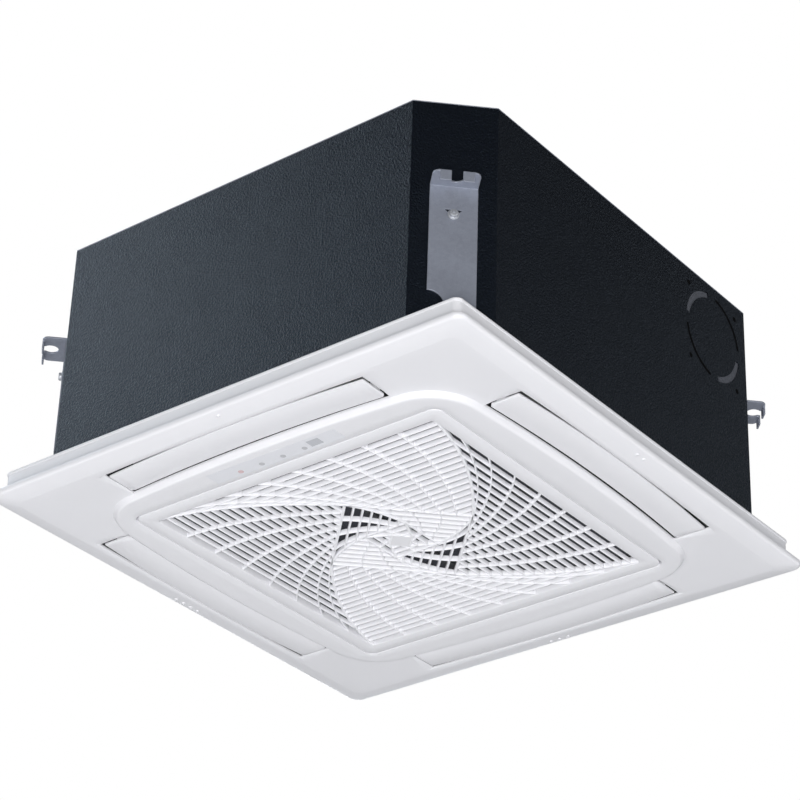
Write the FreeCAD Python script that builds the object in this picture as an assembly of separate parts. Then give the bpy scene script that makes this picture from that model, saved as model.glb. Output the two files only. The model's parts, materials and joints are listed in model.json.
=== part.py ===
"""Compact four-way ceiling cassette air conditioner, built as an assembly of separate pieces.

Millimetres, +Z up. Heights below are measured from the underside of the panel's rim. The origin of the
finished part is the centre of the four suspension holes, at mid thickness of the hanger ears.
Front is the side of the display, at -Y. Right is +X, back is +Y and left is -X.
"""
import FreeCAD, Part
import math
import os

from FreeCAD import Vector

# Driving sizes: general
SHEET = 1.0                     # sheet metal of the casing
FIT = 0.05                      # radial clearance of a pin in its hole
GAP = 0.3                       # clearance between pieces that only lie side by side
PAST = 1.0                      # how far the cutting shape of an opening runs past a face

# Driving sizes: casing
CASE_SIDE = 586.0
CASE_CHAMFER = 61.0
CASE_BOTTOM = 28.0
CASE_HEIGHT = 263.0
CASE_FLANGE = 7.0               # inward flange at the casing's lower edge
LINER = 12.0                    # side insulation
TOP_FOAM = 13.0                 # insulation under the top plate
BEAD_WIDTH = 22.0               # stiffening beads pressed into the top plate
BEAD_HEIGHT = 3.0
FRESH_AIR_Y = 165.0
FRESH_AIR_Z = 226.0
FRESH_AIR_R = 53.0
FRESH_AIR_SLIT = 2.5
FRESH_AIR_CRESCENT = 8.0        # width of the two wide slits
FRESH_AIR_SLIT_ANGLE = 72.0
FRESH_AIR_SCREWS = 93.0         # pitch of the square of screw holes
FRESH_AIR_SCREW_R = 2.3

# Driving sizes: hanger brackets
EAR_HEIGHT = 190.0              # mid thickness of the ear above the rim
EAR_LENGTH = 27.0
EAR_CORNER = 7.0                # rounding of the ear's outer corners
EAR_TIP = 10.0                  # length of the bent-down tips
HANGER_PLATE = 2.0
HANGER_WIDTH = 48.0
HANGER_BOTTOM = 50.0
HANGER_NOTCH = 17.0             # quarter-round notch in one lower corner
ROD_HOLE_R = 8.0
ROD_PITCH = 550.0               # side of the square of suspension holes
ROD_MOUTH = 11.5
HANGER_SCREW_Z = 156.0
HANGER_SCREW_R = 2.5
HANGER_SCREW_LENGTH = 9.0
HANGER_HEAD = 8.0               # across the flats of the screw's head
HANGER_HEAD_HEIGHT = 3.5
HANGER_WASHER_R = 6.0
HANGER_WASHER = 1.0
HANGER_WINDOW = 6.0             # top of the triangular window above the hanger screw
HANGER_WINDOW_HALF = 9.0

# Driving sizes: panel
PANEL_SIDE = 620.0
PANEL_CORNER = 12.0
RIM = 6.0
SKIRT_SIDE = 596.0
SKIRT_TOP = 31.0
SKIRT_CORNER = 8.0
WALL = 2.5
FACE_DROP = 4.0                 # flat field round the outlets, below the rim
SLOPE_SIDE = 576.0              # where the sloping border meets that field
ISLAND_DROP = 10.0              # raised centre, below the rim
ISLAND_CORNER = 60.0
ISLAND_SLOPE = 4.0              # run of the centre's sloping edge
BOW = 7.0                       # how far the outlets' sides bow outwards

# Driving sizes: outlets and flaps
FLAP_LENGTH = 336.0
FLAP_OUTER = 274.0              # outer edge at the flap's ends
FLAP_WIDTH = 37.0
FLAP_PLATE = 2.5
FLAP_GAP = 1.4
FLAP_GAP_INNER = 3.5            # wider gap along the edge that swings up
FLAP_AXIS_IN = 15.0             # from the flap's inner edge to its axis
FLAP_AXIS_UP = 8.0              # from the flap's face to its axis
FLAP_PIN_R = 2.5
FLAP_ARM = 5.0
DUCT_RECESS = 9.0               # room behind the inner edge for the swinging flap
GASKET = 3.0
STEPPER_R = 12.0
STEPPER_LENGTH = 17.0
STEPPER_OFFSET = 8.5            # the motor's body sits above its output
STEPPER_SOCKET = 7.0
STEPPER_EAR = 6.0               # mounting ears beyond the motor's can
STEPPER_EAR_SHEET = 2.0
STEPPER_EAR_WIDTH = 8.0

# Driving sizes: intake grille
GRILLE_SIDE = 400.4
GRILLE_GAP = 1.2
GRILLE_CORNER = 11.0
GRILLE_DEPTH = 10.0
WHIRL_SIDE = 364.0
WHIRL_INNER_R = 95.0            # corner radius of the second, turned square
WHIRL_CORE_R = 40.0
WHIRL_HUB_R = 15.0
WHIRL_BULGE = 15.0
WHIRL_INNER_BULGE = 5.0
WHIRL_CELLS = 8                 # between cross ribs on the outer side, halved in each inner whirl
SLAT_PITCH = 10.0
SLAT_WIDTH = 2.2
SLAT_DEPTH = 5.0
SLAT_SET_BACK = 1.0
RIB_WIDTH = 1.6
RIDGE_WIDTH = 3.0
HINGE_IN = 8.2                  # hinge axis from the grille's back edge
HINGE_UP = 3.0                  # hinge axis above the grille's face
HINGE_PIN_R = 1.25
HINGE_PIN_LENGTH = 11.0
LEDGE_UP = 11.5                 # underside of the panel's inner ledge, above the rim
LEDGE_IN = 9.4
PANEL_SCREW_R = 2.0
PANEL_SCREW_IN = 17.0           # panel screws from the grille opening's corner
PANEL_SCREW_LENGTH = 30.0
PANEL_HEAD_R = 4.4
PANEL_HEAD = 3.0
PANEL_GUSSET = 9.0              # corner of the ledge round a panel screw
PANEL_BOSS = 3.0                # wall round a panel screw above the ledge
CATCH_X = 120.0
CATCH_R = 2.5
CATCH_LENGTH = 10.0
CATCH_HOUSING = 14.0

# Driving sizes: filter
FILTER_SIDE = 378.0
FILTER_BAR = 8.0
FILTER_DEPTH = 5.0
FILTER_MESH = 0.6

# Driving sizes: display
DISPLAY_X = 8.0
DISPLAY_LENGTH = 168.0
DISPLAY_WIDTH = 20.0
DISPLAY_PLATE = 0.8
LENS_R = 3.0
LENS_PITCH = 28.0
LENS_FIRST = -48.0              # first lens from the display's middle
LENS_Y = 3.5                    # lenses from the display's middle line
RECEIVER_X = 52.0
RECEIVER_LENGTH = 15.0
RECEIVER_WIDTH = 11.0
BOARD = 1.6

# Driving sizes: air path and refrigerant
COIL_CLEAR = 22.0               # between the fan and the coil
COIL_THICKNESS = 26.0
COIL_CORNER = 34.0              # inner corner radius
COIL_END_GAP = 22.0             # the coil's two ends, short of the other run's inner face
COIL_PLATE = 1.5
TUBE_R = 3.5
TUBE_PITCH = 21.0
TUBE_BEND_R = 8.0
PAN_HEIGHT = 38.0
PAN_HOLE_CLEAR = 8.0            # round hole of the pan beyond the fan's rim
PAN_GUTTER = 6.0
PAN_GUTTER_FLOOR = 17.0
BELL_THROAT_R = 92.0
BELL_SHEET = 2.0
BELL_BOTTOM_Z = 57.0
BELL_TOP_Z = 110.0
BELL_FLANGE = 14.0
BELL_LIP_OUT = 26.0             # flare of the mouth, outwards from the throat
BELL_LIP_UP = 12.0
BELL_NECK_OUT = 8.0
BELL_NECK_UP = 26.0
BELL_THROAT_UP = 42.0
FAN_R = 150.0
FAN_BOTTOM_Z = 103.0
FAN_TOP_Z = 214.0
FAN_WALL = 2.5
FAN_INLET_R = 98.0
FAN_BLADES = 8
FAN_BLADE_INNER_R = 88.0
FAN_BLADE_SWEEP = 30.0
FAN_BLADE_BEND = 0.42           # share of the sweep at mid radius
FAN_BLADE_CLEAR = 4.0           # blades above the bell mouth
FAN_NECK = 9.0                  # straight inlet of the shroud
FAN_SHROUD_SLOPE = 0.45
FAN_HUB_R = 17.0
FAN_HUB_HEIGHT = 24.0
SHAFT_R = 4.0
FAN_NUT = 13.0                  # across the nut's flats
FAN_NUT_HEIGHT = 7.0
SHAFT_PAST_NUT = 3.0
MOTOR_R = 58.0
MOTOR_HEIGHT = 46.0
MOTOR_FLANGE_R = 82.0
MOTOR_FLANGE = 4.0
MOTOR_CLEAR = 8.0               # motor above the fan's back plate
MOTOR_BOLTS = 3
MOTOR_BOLT_CIRCLE_R = 70.0
MOTOR_BOLT_R = 3.0
MOTOR_BOLT_HEAD = 10.0          # across the flats
MOTOR_BOLT_HEAD_HEIGHT = 4.0
RUBBER_R = 9.0
MOTOR_HOLE_R = 95.0
PIPE_X = -203.0
PIPE_OUT = 34.0                 # pipe ends beyond the casing
PIPE_BEND = 0.5                 # bend radius as a share of the run from coil to bend
PIPE_WALL = 0.8
LIQUID_R = 3.175
LIQUID_Z = 180.0
GAS_R = 6.35
GAS_Z = 216.0
NUT_FLATS_LIQUID = 17.0
NUT_FLATS_GAS = 26.0
NUT_LENGTH = 18.0
COVER_MARGIN = 8.0
PIPE_OPENING = 46.0
GROMMET_Z = 144.0
GROMMET_R = 10.0
GROMMET_WALL = 3.0
GROMMET_LIP = 4.0
GROMMET_LIP_DEPTH = 3.0

# Driving sizes: condensate
PUMP_X = -225.0
PUMP_BACK = 29.0                # from the pump's room to the side insulation
PUMP_R = 23.0
PUMP_CUP_R = 15.0
PUMP_CUP_WALL = 2.0
PUMP_CUP_HEIGHT = 22.0
PUMP_MOTOR_HEIGHT = 50.0
PUMP_LIFT = 4.0                 # impeller cup above the sump's floor
IMPELLER_R = 11.0
IMPELLER_HEIGHT = 12.0
IMPELLER_UP = 2.0               # impeller above the cup's lower edge
IMPELLER_VANE = 2.0
PUMP_BRACKET = 2.0
PUMP_BRACKET_FOOT = 8.0
SUMP_SIDE = 70.0
SUMP_FLOOR = 10.0
DRAIN_R = 10.0
DRAIN_WALL = 2.0
DRAIN_GAP = 1.0                 # between the pipe and the casing's hole
DRAIN_Z = 240.0
DRAIN_OUT = 36.0
DRAIN_COLLAR_R = 15.0           # collar of the drain pipe, seated on the casing
DRAIN_COLLAR = 3.0
DRAIN_SHIFT = 8.0               # rising pipe from the pump's middle, towards the casing
DRAIN_BEND_R = 20.0
FLOAT_X = 22.0                  # float from the pump's middle
FLOAT_Y = 24.0
FLOAT_R = 8.5
FLOAT_HEIGHT = 14.0
FLOAT_STEM_R = 3.0
FLOAT_STEM = 56.0
FLOAT_UP = 6.0                  # float above the sump's floor
FLOAT_STOP = 5.0
FLOAT_STOP_OUT = 2.0
FLOAT_ARM = 6.0

# Driving sizes: electrics
CONTROL_LENGTH = 220.0
CONTROL_WIDTH = 50.0
CONTROL_HEIGHT = 44.0
CONTROL_INSIDE_COIL = 37.0      # the box's middle from the coil's inner face
CONTROL_WALL = 1.2
CONTROL_GAP = 1.0               # between the box and the drain pan
BOARD_FOOT = 8.0                # height of the board's feet
BOARD_FOOT_R = 3.0
BOARD_FOOT_IN = 5.0
BOARD_GAP = 3.0                 # between the board and the box's walls
CAPACITOR_X = 27.0              # components from the board's end
CAPACITOR_R = 9.0
CAPACITOR_HEIGHT = 20.0
TRANSFORMER_X = 47.0
TRANSFORMER_LENGTH = 25.0
TRANSFORMER_WIDTH = 24.0
TRANSFORMER_HEIGHT = 16.0
RELAY_X = 82.0
RELAY_LENGTH = 15.0
RELAY_WIDTH = 12.0
RELAY_HEIGHT = 12.0
TERMINAL_LENGTH = 52.0
TERMINAL_WIDTH = 16.0
TERMINAL_HEIGHT = 14.0
TERMINAL_GAP = 8.0              # between the terminal block and the board
TERMINAL_POLES = 4
TERMINAL_WELL_R = 3.5
TERMINAL_WELL = 6.0

# Levels and half sizes that follow from the driving sizes
case_half = CASE_SIDE / 2
case_top = CASE_BOTTOM + CASE_HEIGHT
case_inner = case_half - SHEET
liner_inner = case_inner - LINER
pan_bottom = CASE_BOTTOM + SHEET
pan_top = pan_bottom + PAN_HEIGHT
foam_bottom = case_top - TOP_FOAM
chamfer_distance = (CASE_SIDE - CASE_CHAMFER) / math.sqrt(2)
face_z = -FACE_DROP
face_inner_z = face_z + WALL
island_z = -ISLAND_DROP
island_inner_z = island_z + WALL
flap_half = FLAP_LENGTH / 2
flap_inner = FLAP_OUTER - FLAP_WIDTH
outlet_half = flap_half + FLAP_GAP
outlet_outer = FLAP_OUTER + FLAP_GAP
outlet_inner = flap_inner - FLAP_GAP_INNER
duct_inner = outlet_inner - DUCT_RECESS
duct_top = pan_bottom - GASKET
flap_axis_y = -(flap_inner + FLAP_AXIS_IN)
flap_axis_z = face_z + FLAP_AXIS_UP
grille_half = GRILLE_SIDE / 2
opening_half = grille_half + GRILLE_GAP
opening_corner = GRILLE_CORNER - GRILLE_GAP / 2
grille_top = island_z + GRILLE_DEPTH
hinge_y = grille_half - HINGE_IN
hinge_z = island_z + HINGE_UP
ledge_top = LEDGE_UP + WALL
whirl_half = WHIRL_SIDE / 2
coil_inner = FAN_R + COIL_CLEAR
coil_outer = coil_inner + COIL_THICKNESS
coil_bottom = pan_bottom + PAN_GUTTER_FLOOR
coil_middle = coil_inner + COIL_THICKNESS / 2
motor_bottom = FAN_TOP_Z + MOTOR_CLEAR
flange_z = motor_bottom + MOTOR_HEIGHT - MOTOR_FLANGE
pan_hole_r = FAN_R + PAN_HOLE_CLEAR
coil_open = coil_inner - COIL_END_GAP
bends_end = coil_open + COIL_PLATE + TUBE_BEND_R + TUBE_R
pump_y = (bends_end + liner_inner - PUMP_BACK) / 2
control_y = coil_inner - CONTROL_INSIDE_COIL
pipe_bend_r = PIPE_BEND * (-PIPE_X - coil_open - COIL_PLATE)
sump_floor_z = pan_bottom + SUMP_FLOOR
cup_z = sump_floor_z + PUMP_LIFT
pump_motor_z = cup_z + PUMP_CUP_HEIGHT
pump_top = pump_motor_z + PUMP_MOTOR_HEIGHT
control_bottom = BELL_BOTTOM_Z - CONTROL_HEIGHT
UP = Vector(0, 0, 1)


def box(x0, x1, y0, y1, z0, z1):
    """Block between two corners."""
    return Part.makeBox(x1 - x0, y1 - y0, z1 - z0, Vector(x0, y0, z0))


def post(radius, x, y, z0, z1):
    """Upright cylinder."""
    return Part.makeCylinder(radius, z1 - z0, Vector(x, y, z0))


def rod(radius, start, end):
    """Cylinder from one point to another."""
    start = Vector(*start)
    along = Vector(*end) - start
    return Part.makeCylinder(radius, along.Length, start, along)


def prism(points, z0, z1):
    """Upright prism over a closed outline of points."""
    corners = [Vector(x, y, z0) for x, y in points]
    return Part.Face(Part.makePolygon(corners + corners[:1])).extrude(Vector(0, 0, z1 - z0))


def revolve(points):
    """Solid turned about the Z axis from a profile of radius and height."""
    corners = [Vector(r, 0, z) for r, z in points]
    return Part.Face(Part.makePolygon(corners + corners[:1])).revolve(Vector(0, 0, 0), UP, 360)


def hexagon(flats, z0, z1):
    """Upright hexagonal prism about the Z axis."""
    radius = flats / math.sqrt(3)
    turns = [math.radians(60 * i) for i in range(6)]
    return prism([(radius * math.cos(t), radius * math.sin(t)) for t in turns], z0, z1)


def turned(shape, degrees):
    """Copy of a shape turned about the Z axis."""
    copy = shape.copy()
    copy.rotate(Vector(0, 0, 0), UP, degrees)
    return copy


def moved(shape, x, y, z):
    """Copy of a shape moved by a vector."""
    copy = shape.copy()
    copy.translate(Vector(x, y, z))
    return copy


def octagon(half, chamfer, z0, z1):
    """Square prism with cut corners."""
    flat = half - chamfer
    corner = [(half, flat), (flat, half)]
    points = []
    for x, y in corner:
        points.append((x, y))
    for x, y in reversed(corner):
        points.append((-x, y))
    for x, y in corner:
        points.append((-x, -y))
    for x, y in reversed(corner):
        points.append((x, -y))
    return prism(points, z0, z1)


def inset_octagon(inset, z0, z1):
    """The casing's octagon with every side moved inwards by the same amount."""
    return octagon(case_half - inset, CASE_CHAMFER - (2 - math.sqrt(2)) * inset, z0, z1)


def square_wire(half, radius, z, bow=0.0):
    """Closed outline of a square with rounded corners, whose sides may bow outwards."""
    flat = half - radius
    near = half - radius * (1 - math.sqrt(0.5))
    edges = []
    for turn in range(4):
        points = [(-flat, -half), (0, -half - bow), (flat, -half), (near, -near), (half, -flat)]
        angle = math.radians(90 * turn)
        c, s = math.cos(angle), math.sin(angle)
        a, b, d, e, f = [Vector(x * c - y * s, x * s + y * c, z) for x, y in points]
        side = Part.Arc(a, b, d) if bow else Part.LineSegment(a, d)
        edges.append(side.toShape())
        edges.append(Part.Arc(d, e, f).toShape())
    return Part.Wire(edges)


def square_block(half, radius, z0, z1, bow=0.0):
    """Prism over a rounded square."""
    return Part.Face(square_wire(half, radius, z0, bow)).extrude(Vector(0, 0, z1 - z0))


def strip_block(half_length, inner, outer, z0, z1):
    """Prism over the bowed plan of an outlet or flap on the front side."""
    a = Vector(-half_length, -outer, z0)
    b = Vector(0, -outer - BOW, z0)
    c = Vector(half_length, -outer, z0)
    d = Vector(half_length, -inner, z0)
    e = Vector(0, -inner - BOW, z0)
    f = Vector(-half_length, -inner, z0)
    edges = [Part.Arc(a, b, c).toShape(), Part.LineSegment(c, d).toShape()]
    edges += [Part.Arc(d, e, f).toShape(), Part.LineSegment(f, a).toShape()]
    return Part.Face(Part.Wire(edges)).extrude(Vector(0, 0, z1 - z0))


def tube(points, bend_radius, radius, wall):
    """Round tube along straight runs joined by tangent bends, and the solid bar of its outside."""
    runs = [Vector(*p) for p in points]
    edges = []
    start = runs[0]
    for before, corner, after in zip(runs, runs[1:], runs[2:]):
        entry = (before - corner).normalize()
        leave = (after - corner).normalize()
        half_turn = (math.pi - entry.getAngle(leave)) / 2
        reach = bend_radius * math.tan(half_turn)
        first = corner + entry * reach
        last = corner + leave * reach
        middle = (entry + leave).normalize() * (bend_radius / math.cos(half_turn) - bend_radius)
        edges.append(Part.LineSegment(start, first).toShape())
        edges.append(Part.Arc(first, corner + middle, last).toShape())
        start = last
    edges.append(Part.LineSegment(start, runs[-1]).toShape())
    path = Part.Wire(edges)
    along = runs[1] - runs[0]
    bars = []
    for size in (radius, radius - wall):
        ring = Part.Wire(Part.makeCircle(size, runs[0], along))
        bars.append(path.makePipeShell([ring], True, False))
    return bars[0].cut(bars[1]), bars[0]


def all_sides(shape):
    """The same shape on the front, right, back and left sides."""
    return [turned(shape, 90 * i) for i in range(4)]


def joined(shapes):
    """One solid from shapes that meet."""
    return shapes[0].multiFuse(shapes[1:]).removeSplitter()


pieces = {}


def add(name, *solids):
    """Keep a piece, moved so that the ears' mid plane is at height zero."""
    shape = solids[0] if len(solids) == 1 else Part.makeCompound(list(solids))
    pieces[name] = moved(shape, 0, 0, -EAR_HEIGHT)


# Hanger brackets and their screws, drawn on the +X axis and then turned to the corners
def hanger():
    """Bracket with a vertical plate, a horizontal ear and bent-down tips."""
    face = chamfer_distance
    half = HANGER_WIDTH / 2
    ear_low = EAR_HEIGHT - HANGER_PLATE / 2
    ear_high = EAR_HEIGHT + HANGER_PLATE / 2
    plate = box(face, face + HANGER_PLATE, -half, half, HANGER_BOTTOM, ear_high)
    corner_notch = rod(HANGER_NOTCH, (face - PAST, -half, HANGER_BOTTOM),
                       (face + HANGER_PLATE + PAST, -half, HANGER_BOTTOM))
    plate = plate.cut(corner_notch)
    end = face + EAR_LENGTH
    tip_half = half - EAR_CORNER
    ear = [box(face, end - EAR_CORNER, -half, half, ear_low, ear_high),
           box(face, end, -tip_half, tip_half, ear_low, ear_high)]
    ear += [post(EAR_CORNER, end - EAR_CORNER, side * tip_half, ear_low, ear_high) for side in (-1, 1)]
    tips = box(end - HANGER_PLATE, end, -tip_half, tip_half, ear_low - EAR_TIP, ear_high)
    hole_x = ROD_PITCH / math.sqrt(2)
    hole = post(ROD_HOLE_R, hole_x, 0, ear_low - PAST, ear_high + PAST)
    mouth = box(hole_x, end + PAST, -ROD_MOUTH / 2, ROD_MOUTH / 2,
                ear_low - EAR_TIP - PAST, ear_high + PAST)
    high = HANGER_SCREW_Z + HANGER_WINDOW
    apex = HANGER_SCREW_Z - HANGER_SCREW_R
    window_points = [(-HANGER_WINDOW_HALF, high), (HANGER_WINDOW_HALF, high), (0, apex)]
    corners = [Vector(face - PAST, y, z) for y, z in window_points]
    window = Part.Face(Part.makePolygon(corners + corners[:1]))
    window = window.extrude(Vector(HANGER_PLATE + 2 * PAST, 0, 0))
    screw_hole = rod(HANGER_SCREW_R + FIT, (face - PAST, 0, HANGER_SCREW_Z),
                     (face + HANGER_PLATE + PAST, 0, HANGER_SCREW_Z))
    return joined([plate, tips] + ear).cut(hole).cut(mouth).cut(window).cut(screw_hole)


def hanger_screw():
    """Hexagon screw with a washer face, through bracket and casing."""
    seat = chamfer_distance + HANGER_PLATE
    head_at = seat + HANGER_WASHER
    washer = rod(HANGER_WASHER_R, (seat, 0, HANGER_SCREW_Z), (head_at, 0, HANGER_SCREW_Z))
    head = hexagon(HANGER_HEAD, 0, HANGER_HEAD_HEIGHT)
    head.rotate(Vector(0, 0, 0), Vector(0, 1, 0), 90)
    head = moved(head, head_at, 0, HANGER_SCREW_Z)
    tip = head_at - HANGER_SCREW_LENGTH
    shank = rod(HANGER_SCREW_R, (tip, 0, HANGER_SCREW_Z), (head_at, 0, HANGER_SCREW_Z))
    return joined([washer, head, shank])


def screw_channel(radius):
    """Clear way for a hanger screw through casing and insulation, on all corners."""
    end = chamfer_distance + PAST
    start = chamfer_distance + HANGER_PLATE + HANGER_WASHER - HANGER_SCREW_LENGTH - PAST
    channel = rod(radius, (start, 0, HANGER_SCREW_Z), (end, 0, HANGER_SCREW_Z))
    return [turned(channel, 90 * i + 45) for i in range(4)]


corner_names = ["back_right", "back_left", "front_left", "front_right"]
for index, corner_name in enumerate(corner_names):
    add("hanger_bracket_" + corner_name, turned(hanger(), 45 + 90 * index))
add("hanger_screws", *[turned(hanger_screw(), 45 + 90 * i) for i in range(4)])


# Casing, top plate and insulation
def side_holes():
    """Ways through casing and insulation for pipes with the cable, and for the drain."""
    through = case_half + PAST
    inside = liner_inner - PAST
    half = PIPE_OPENING / 2
    pipes = box(PIPE_X - half, PIPE_X + half, inside, through, GROMMET_Z - half, GAS_Z + half)
    drain = rod(DRAIN_R + DRAIN_GAP, (-through, pump_y, DRAIN_Z), (PUMP_X, pump_y, DRAIN_Z))
    return [pipes, drain]


def fresh_air_slits():
    """Two narrow and two wide arc slits and four screw holes of the knock-out in the right wall."""
    slits = []
    for quarter in range(4):
        ring = Part.makeCylinder(FRESH_AIR_R, 4 * SHEET, Vector(0, 0, 0), UP, FRESH_AIR_SLIT_ANGLE)
        ring = turned(ring, 45 - FRESH_AIR_SLIT_ANGLE / 2 + 90 * quarter)
        if quarter % 2:
            ring = ring.cut(Part.makeCylinder(FRESH_AIR_R - FRESH_AIR_SLIT, 4 * SHEET))
        else:
            middle = turned(Part.makeCylinder(FRESH_AIR_R, 4 * SHEET, Vector(-FRESH_AIR_CRESCENT, 0, 0)),
                            45 + 90 * quarter)
            ring = ring.cut(middle)
        slits.append(ring)
    for x in (-1, 1):
        for y in (-1, 1):
            half = FRESH_AIR_SCREWS / 2
            slits.append(post(FRESH_AIR_SCREW_R, x * half, y * half, 0, 4 * SHEET))
    placed = []
    for slit in slits:
        slit.rotate(Vector(0, 0, 0), Vector(0, 1, 0), 90)
        placed.append(moved(slit, case_half - 2 * SHEET, FRESH_AIR_Y, FRESH_AIR_Z))
    return placed


shell = inset_octagon(0, CASE_BOTTOM, case_top).cut(inset_octagon(SHEET, CASE_BOTTOM, case_top))
flange = inset_octagon(0, CASE_BOTTOM, pan_bottom).cut(inset_octagon(CASE_FLANGE, CASE_BOTTOM, pan_bottom))
shell = joined([shell, flange])
for cutter in side_holes() + fresh_air_slits() + screw_channel(HANGER_SCREW_R + FIT):
    shell = shell.cut(cutter)
add("casing", shell)

liner = inset_octagon(SHEET, pan_bottom, foam_bottom)
liner = liner.cut(inset_octagon(SHEET + LINER, pan_bottom, foam_bottom))
for cutter in side_holes() + screw_channel(HANGER_SCREW_R + GAP):
    liner = liner.cut(cutter)
add("side_insulation", liner)

top_foam = inset_octagon(SHEET, foam_bottom, case_top).cut(post(MOTOR_HOLE_R, 0, 0, foam_bottom, case_top))
add("top_insulation", top_foam)

bead_half = case_half - CASE_CHAMFER
bead_z = case_top + SHEET
bead_top = bead_z + BEAD_HEIGHT
crown_r = MOTOR_HOLE_R + BEAD_WIDTH
bead_start = MOTOR_HOLE_R + BEAD_WIDTH / 2
bead = box(bead_start, bead_half, -BEAD_WIDTH / 2, BEAD_WIDTH / 2, case_top, bead_top)
crown = post(crown_r, 0, 0, case_top, bead_top).cut(post(MOTOR_HOLE_R, 0, 0, case_top, bead_top))
top = joined([inset_octagon(0, case_top, bead_z), crown] + [turned(bead, 45 + 90 * i) for i in range(4)])
motor_spots = []
for index in range(MOTOR_BOLTS):
    turn = 2 * math.pi * index / MOTOR_BOLTS
    motor_spots.append((MOTOR_BOLT_CIRCLE_R * math.cos(turn), MOTOR_BOLT_CIRCLE_R * math.sin(turn)))
for x, y in motor_spots:
    top = top.cut(post(MOTOR_BOLT_R + FIT, x, y, case_top - PAST, bead_z + PAST))
add("top_plate", top)

# Heat exchanger with its end plates and return bends
coil_corner_outer = COIL_CORNER + COIL_THICKNESS
coil = square_block(coil_outer, coil_corner_outer, coil_bottom, foam_bottom)
coil = coil.cut(square_block(coil_inner, COIL_CORNER, coil_bottom, foam_bottom))
coil = coil.cut(box(-coil_outer - PAST, -coil_open, coil_open, coil_outer + PAST,
                    coil_bottom - PAST, foam_bottom + PAST))
add("heat_exchanger_fins", coil)

plate_back = box(-coil_open - COIL_PLATE, -coil_open, coil_inner, coil_outer, coil_bottom, foam_bottom)
plate_left = box(-coil_outer, -coil_inner, coil_open, coil_open + COIL_PLATE, coil_bottom, foam_bottom)
add("coil_end_plates", plate_back, plate_left)


def return_bend(z):
    """Half ring of tube in an upright plane, standing out along +X from the origin."""
    ring = Part.makeTorus(TUBE_BEND_R, TUBE_R, Vector(0, 0, z), Vector(0, 1, 0))
    reach = TUBE_BEND_R + TUBE_R + PAST
    return ring.common(box(0, reach, -reach, reach, z - reach, z + reach))


pipe_band = [LIQUID_Z - LIQUID_R - TUBE_PITCH, GAS_Z + GAS_R + TUBE_PITCH]
bend_count = int((foam_bottom - coil_bottom - TUBE_PITCH) // TUBE_PITCH)
bends = []
for index in range(bend_count):
    level = coil_bottom + TUBE_PITCH * (index + 1)
    bend = return_bend(level)
    bends.append(moved(turned(bend, 90), -coil_middle, coil_open + COIL_PLATE, 0))
    if not pipe_band[0] < level < pipe_band[1]:
        bends.append(moved(turned(bend, 180), -coil_open - COIL_PLATE, coil_middle, 0))
add("coil_return_bends", *bends)


# Refrigerant pipes with flare nuts and the cover plate they pass through
def refrigerant_pipe(z, radius):
    """Pipe from the coil's end plate, round a bend and out through the back wall."""
    start = (-coil_open - COIL_PLATE, coil_middle, z)
    route = [start, (PIPE_X, coil_middle, z), (PIPE_X, case_half + PIPE_OUT, z)]
    return tube(route, pipe_bend_r, radius, PIPE_WALL)[0]


def flare_nut(z, radius, flats):
    """Hexagonal nut near the end of a pipe."""
    nut = hexagon(flats, 0, NUT_LENGTH).cut(post(radius + FIT, 0, 0, -PAST, NUT_LENGTH + PAST))
    nut.rotate(Vector(0, 0, 0), Vector(1, 0, 0), -90)
    return moved(nut, PIPE_X, case_half + PIPE_OUT - NUT_LENGTH, z)


liquid_pipe = refrigerant_pipe(LIQUID_Z, LIQUID_R)
gas_pipe = refrigerant_pipe(GAS_Z, GAS_R)
add("liquid_pipe", liquid_pipe)
add("gas_pipe", gas_pipe)
add("liquid_flare_nut", flare_nut(LIQUID_Z, LIQUID_R, NUT_FLATS_LIQUID))
add("gas_flare_nut", flare_nut(GAS_Z, GAS_R, NUT_FLATS_GAS))
cover_half = PIPE_OPENING / 2 + COVER_MARGIN
cover = box(PIPE_X - cover_half, PIPE_X + cover_half, case_half, case_half + SHEET,
            GROMMET_Z - cover_half, GAS_Z + cover_half)
cover_face = case_half + SHEET
for level, radius in ((LIQUID_Z, LIQUID_R + GAP), (GAS_Z, GAS_R + GAP), (GROMMET_Z, GROMMET_R)):
    cover = cover.cut(rod(radius, (PIPE_X, case_half - PAST, level), (PIPE_X, cover_face + PAST, level)))
add("pipe_cover_plate", cover)


def cable_way(radius, y0, y1):
    """Cylinder along the cable's way through the pipes' cover plate."""
    return rod(radius, (PIPE_X, y0, GROMMET_Z), (PIPE_X, y1, GROMMET_Z))


grommet_end = cover_face + GROMMET_LIP_DEPTH
grommet_lip = cable_way(GROMMET_R + GROMMET_LIP, cover_face, grommet_end)
grommet = joined([grommet_lip, cable_way(GROMMET_R, liner_inner, cover_face)])
grommet = grommet.cut(cable_way(GROMMET_R - GROMMET_WALL, liner_inner - PAST, grommet_end + PAST))
add("cable_grommet", grommet)

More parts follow.
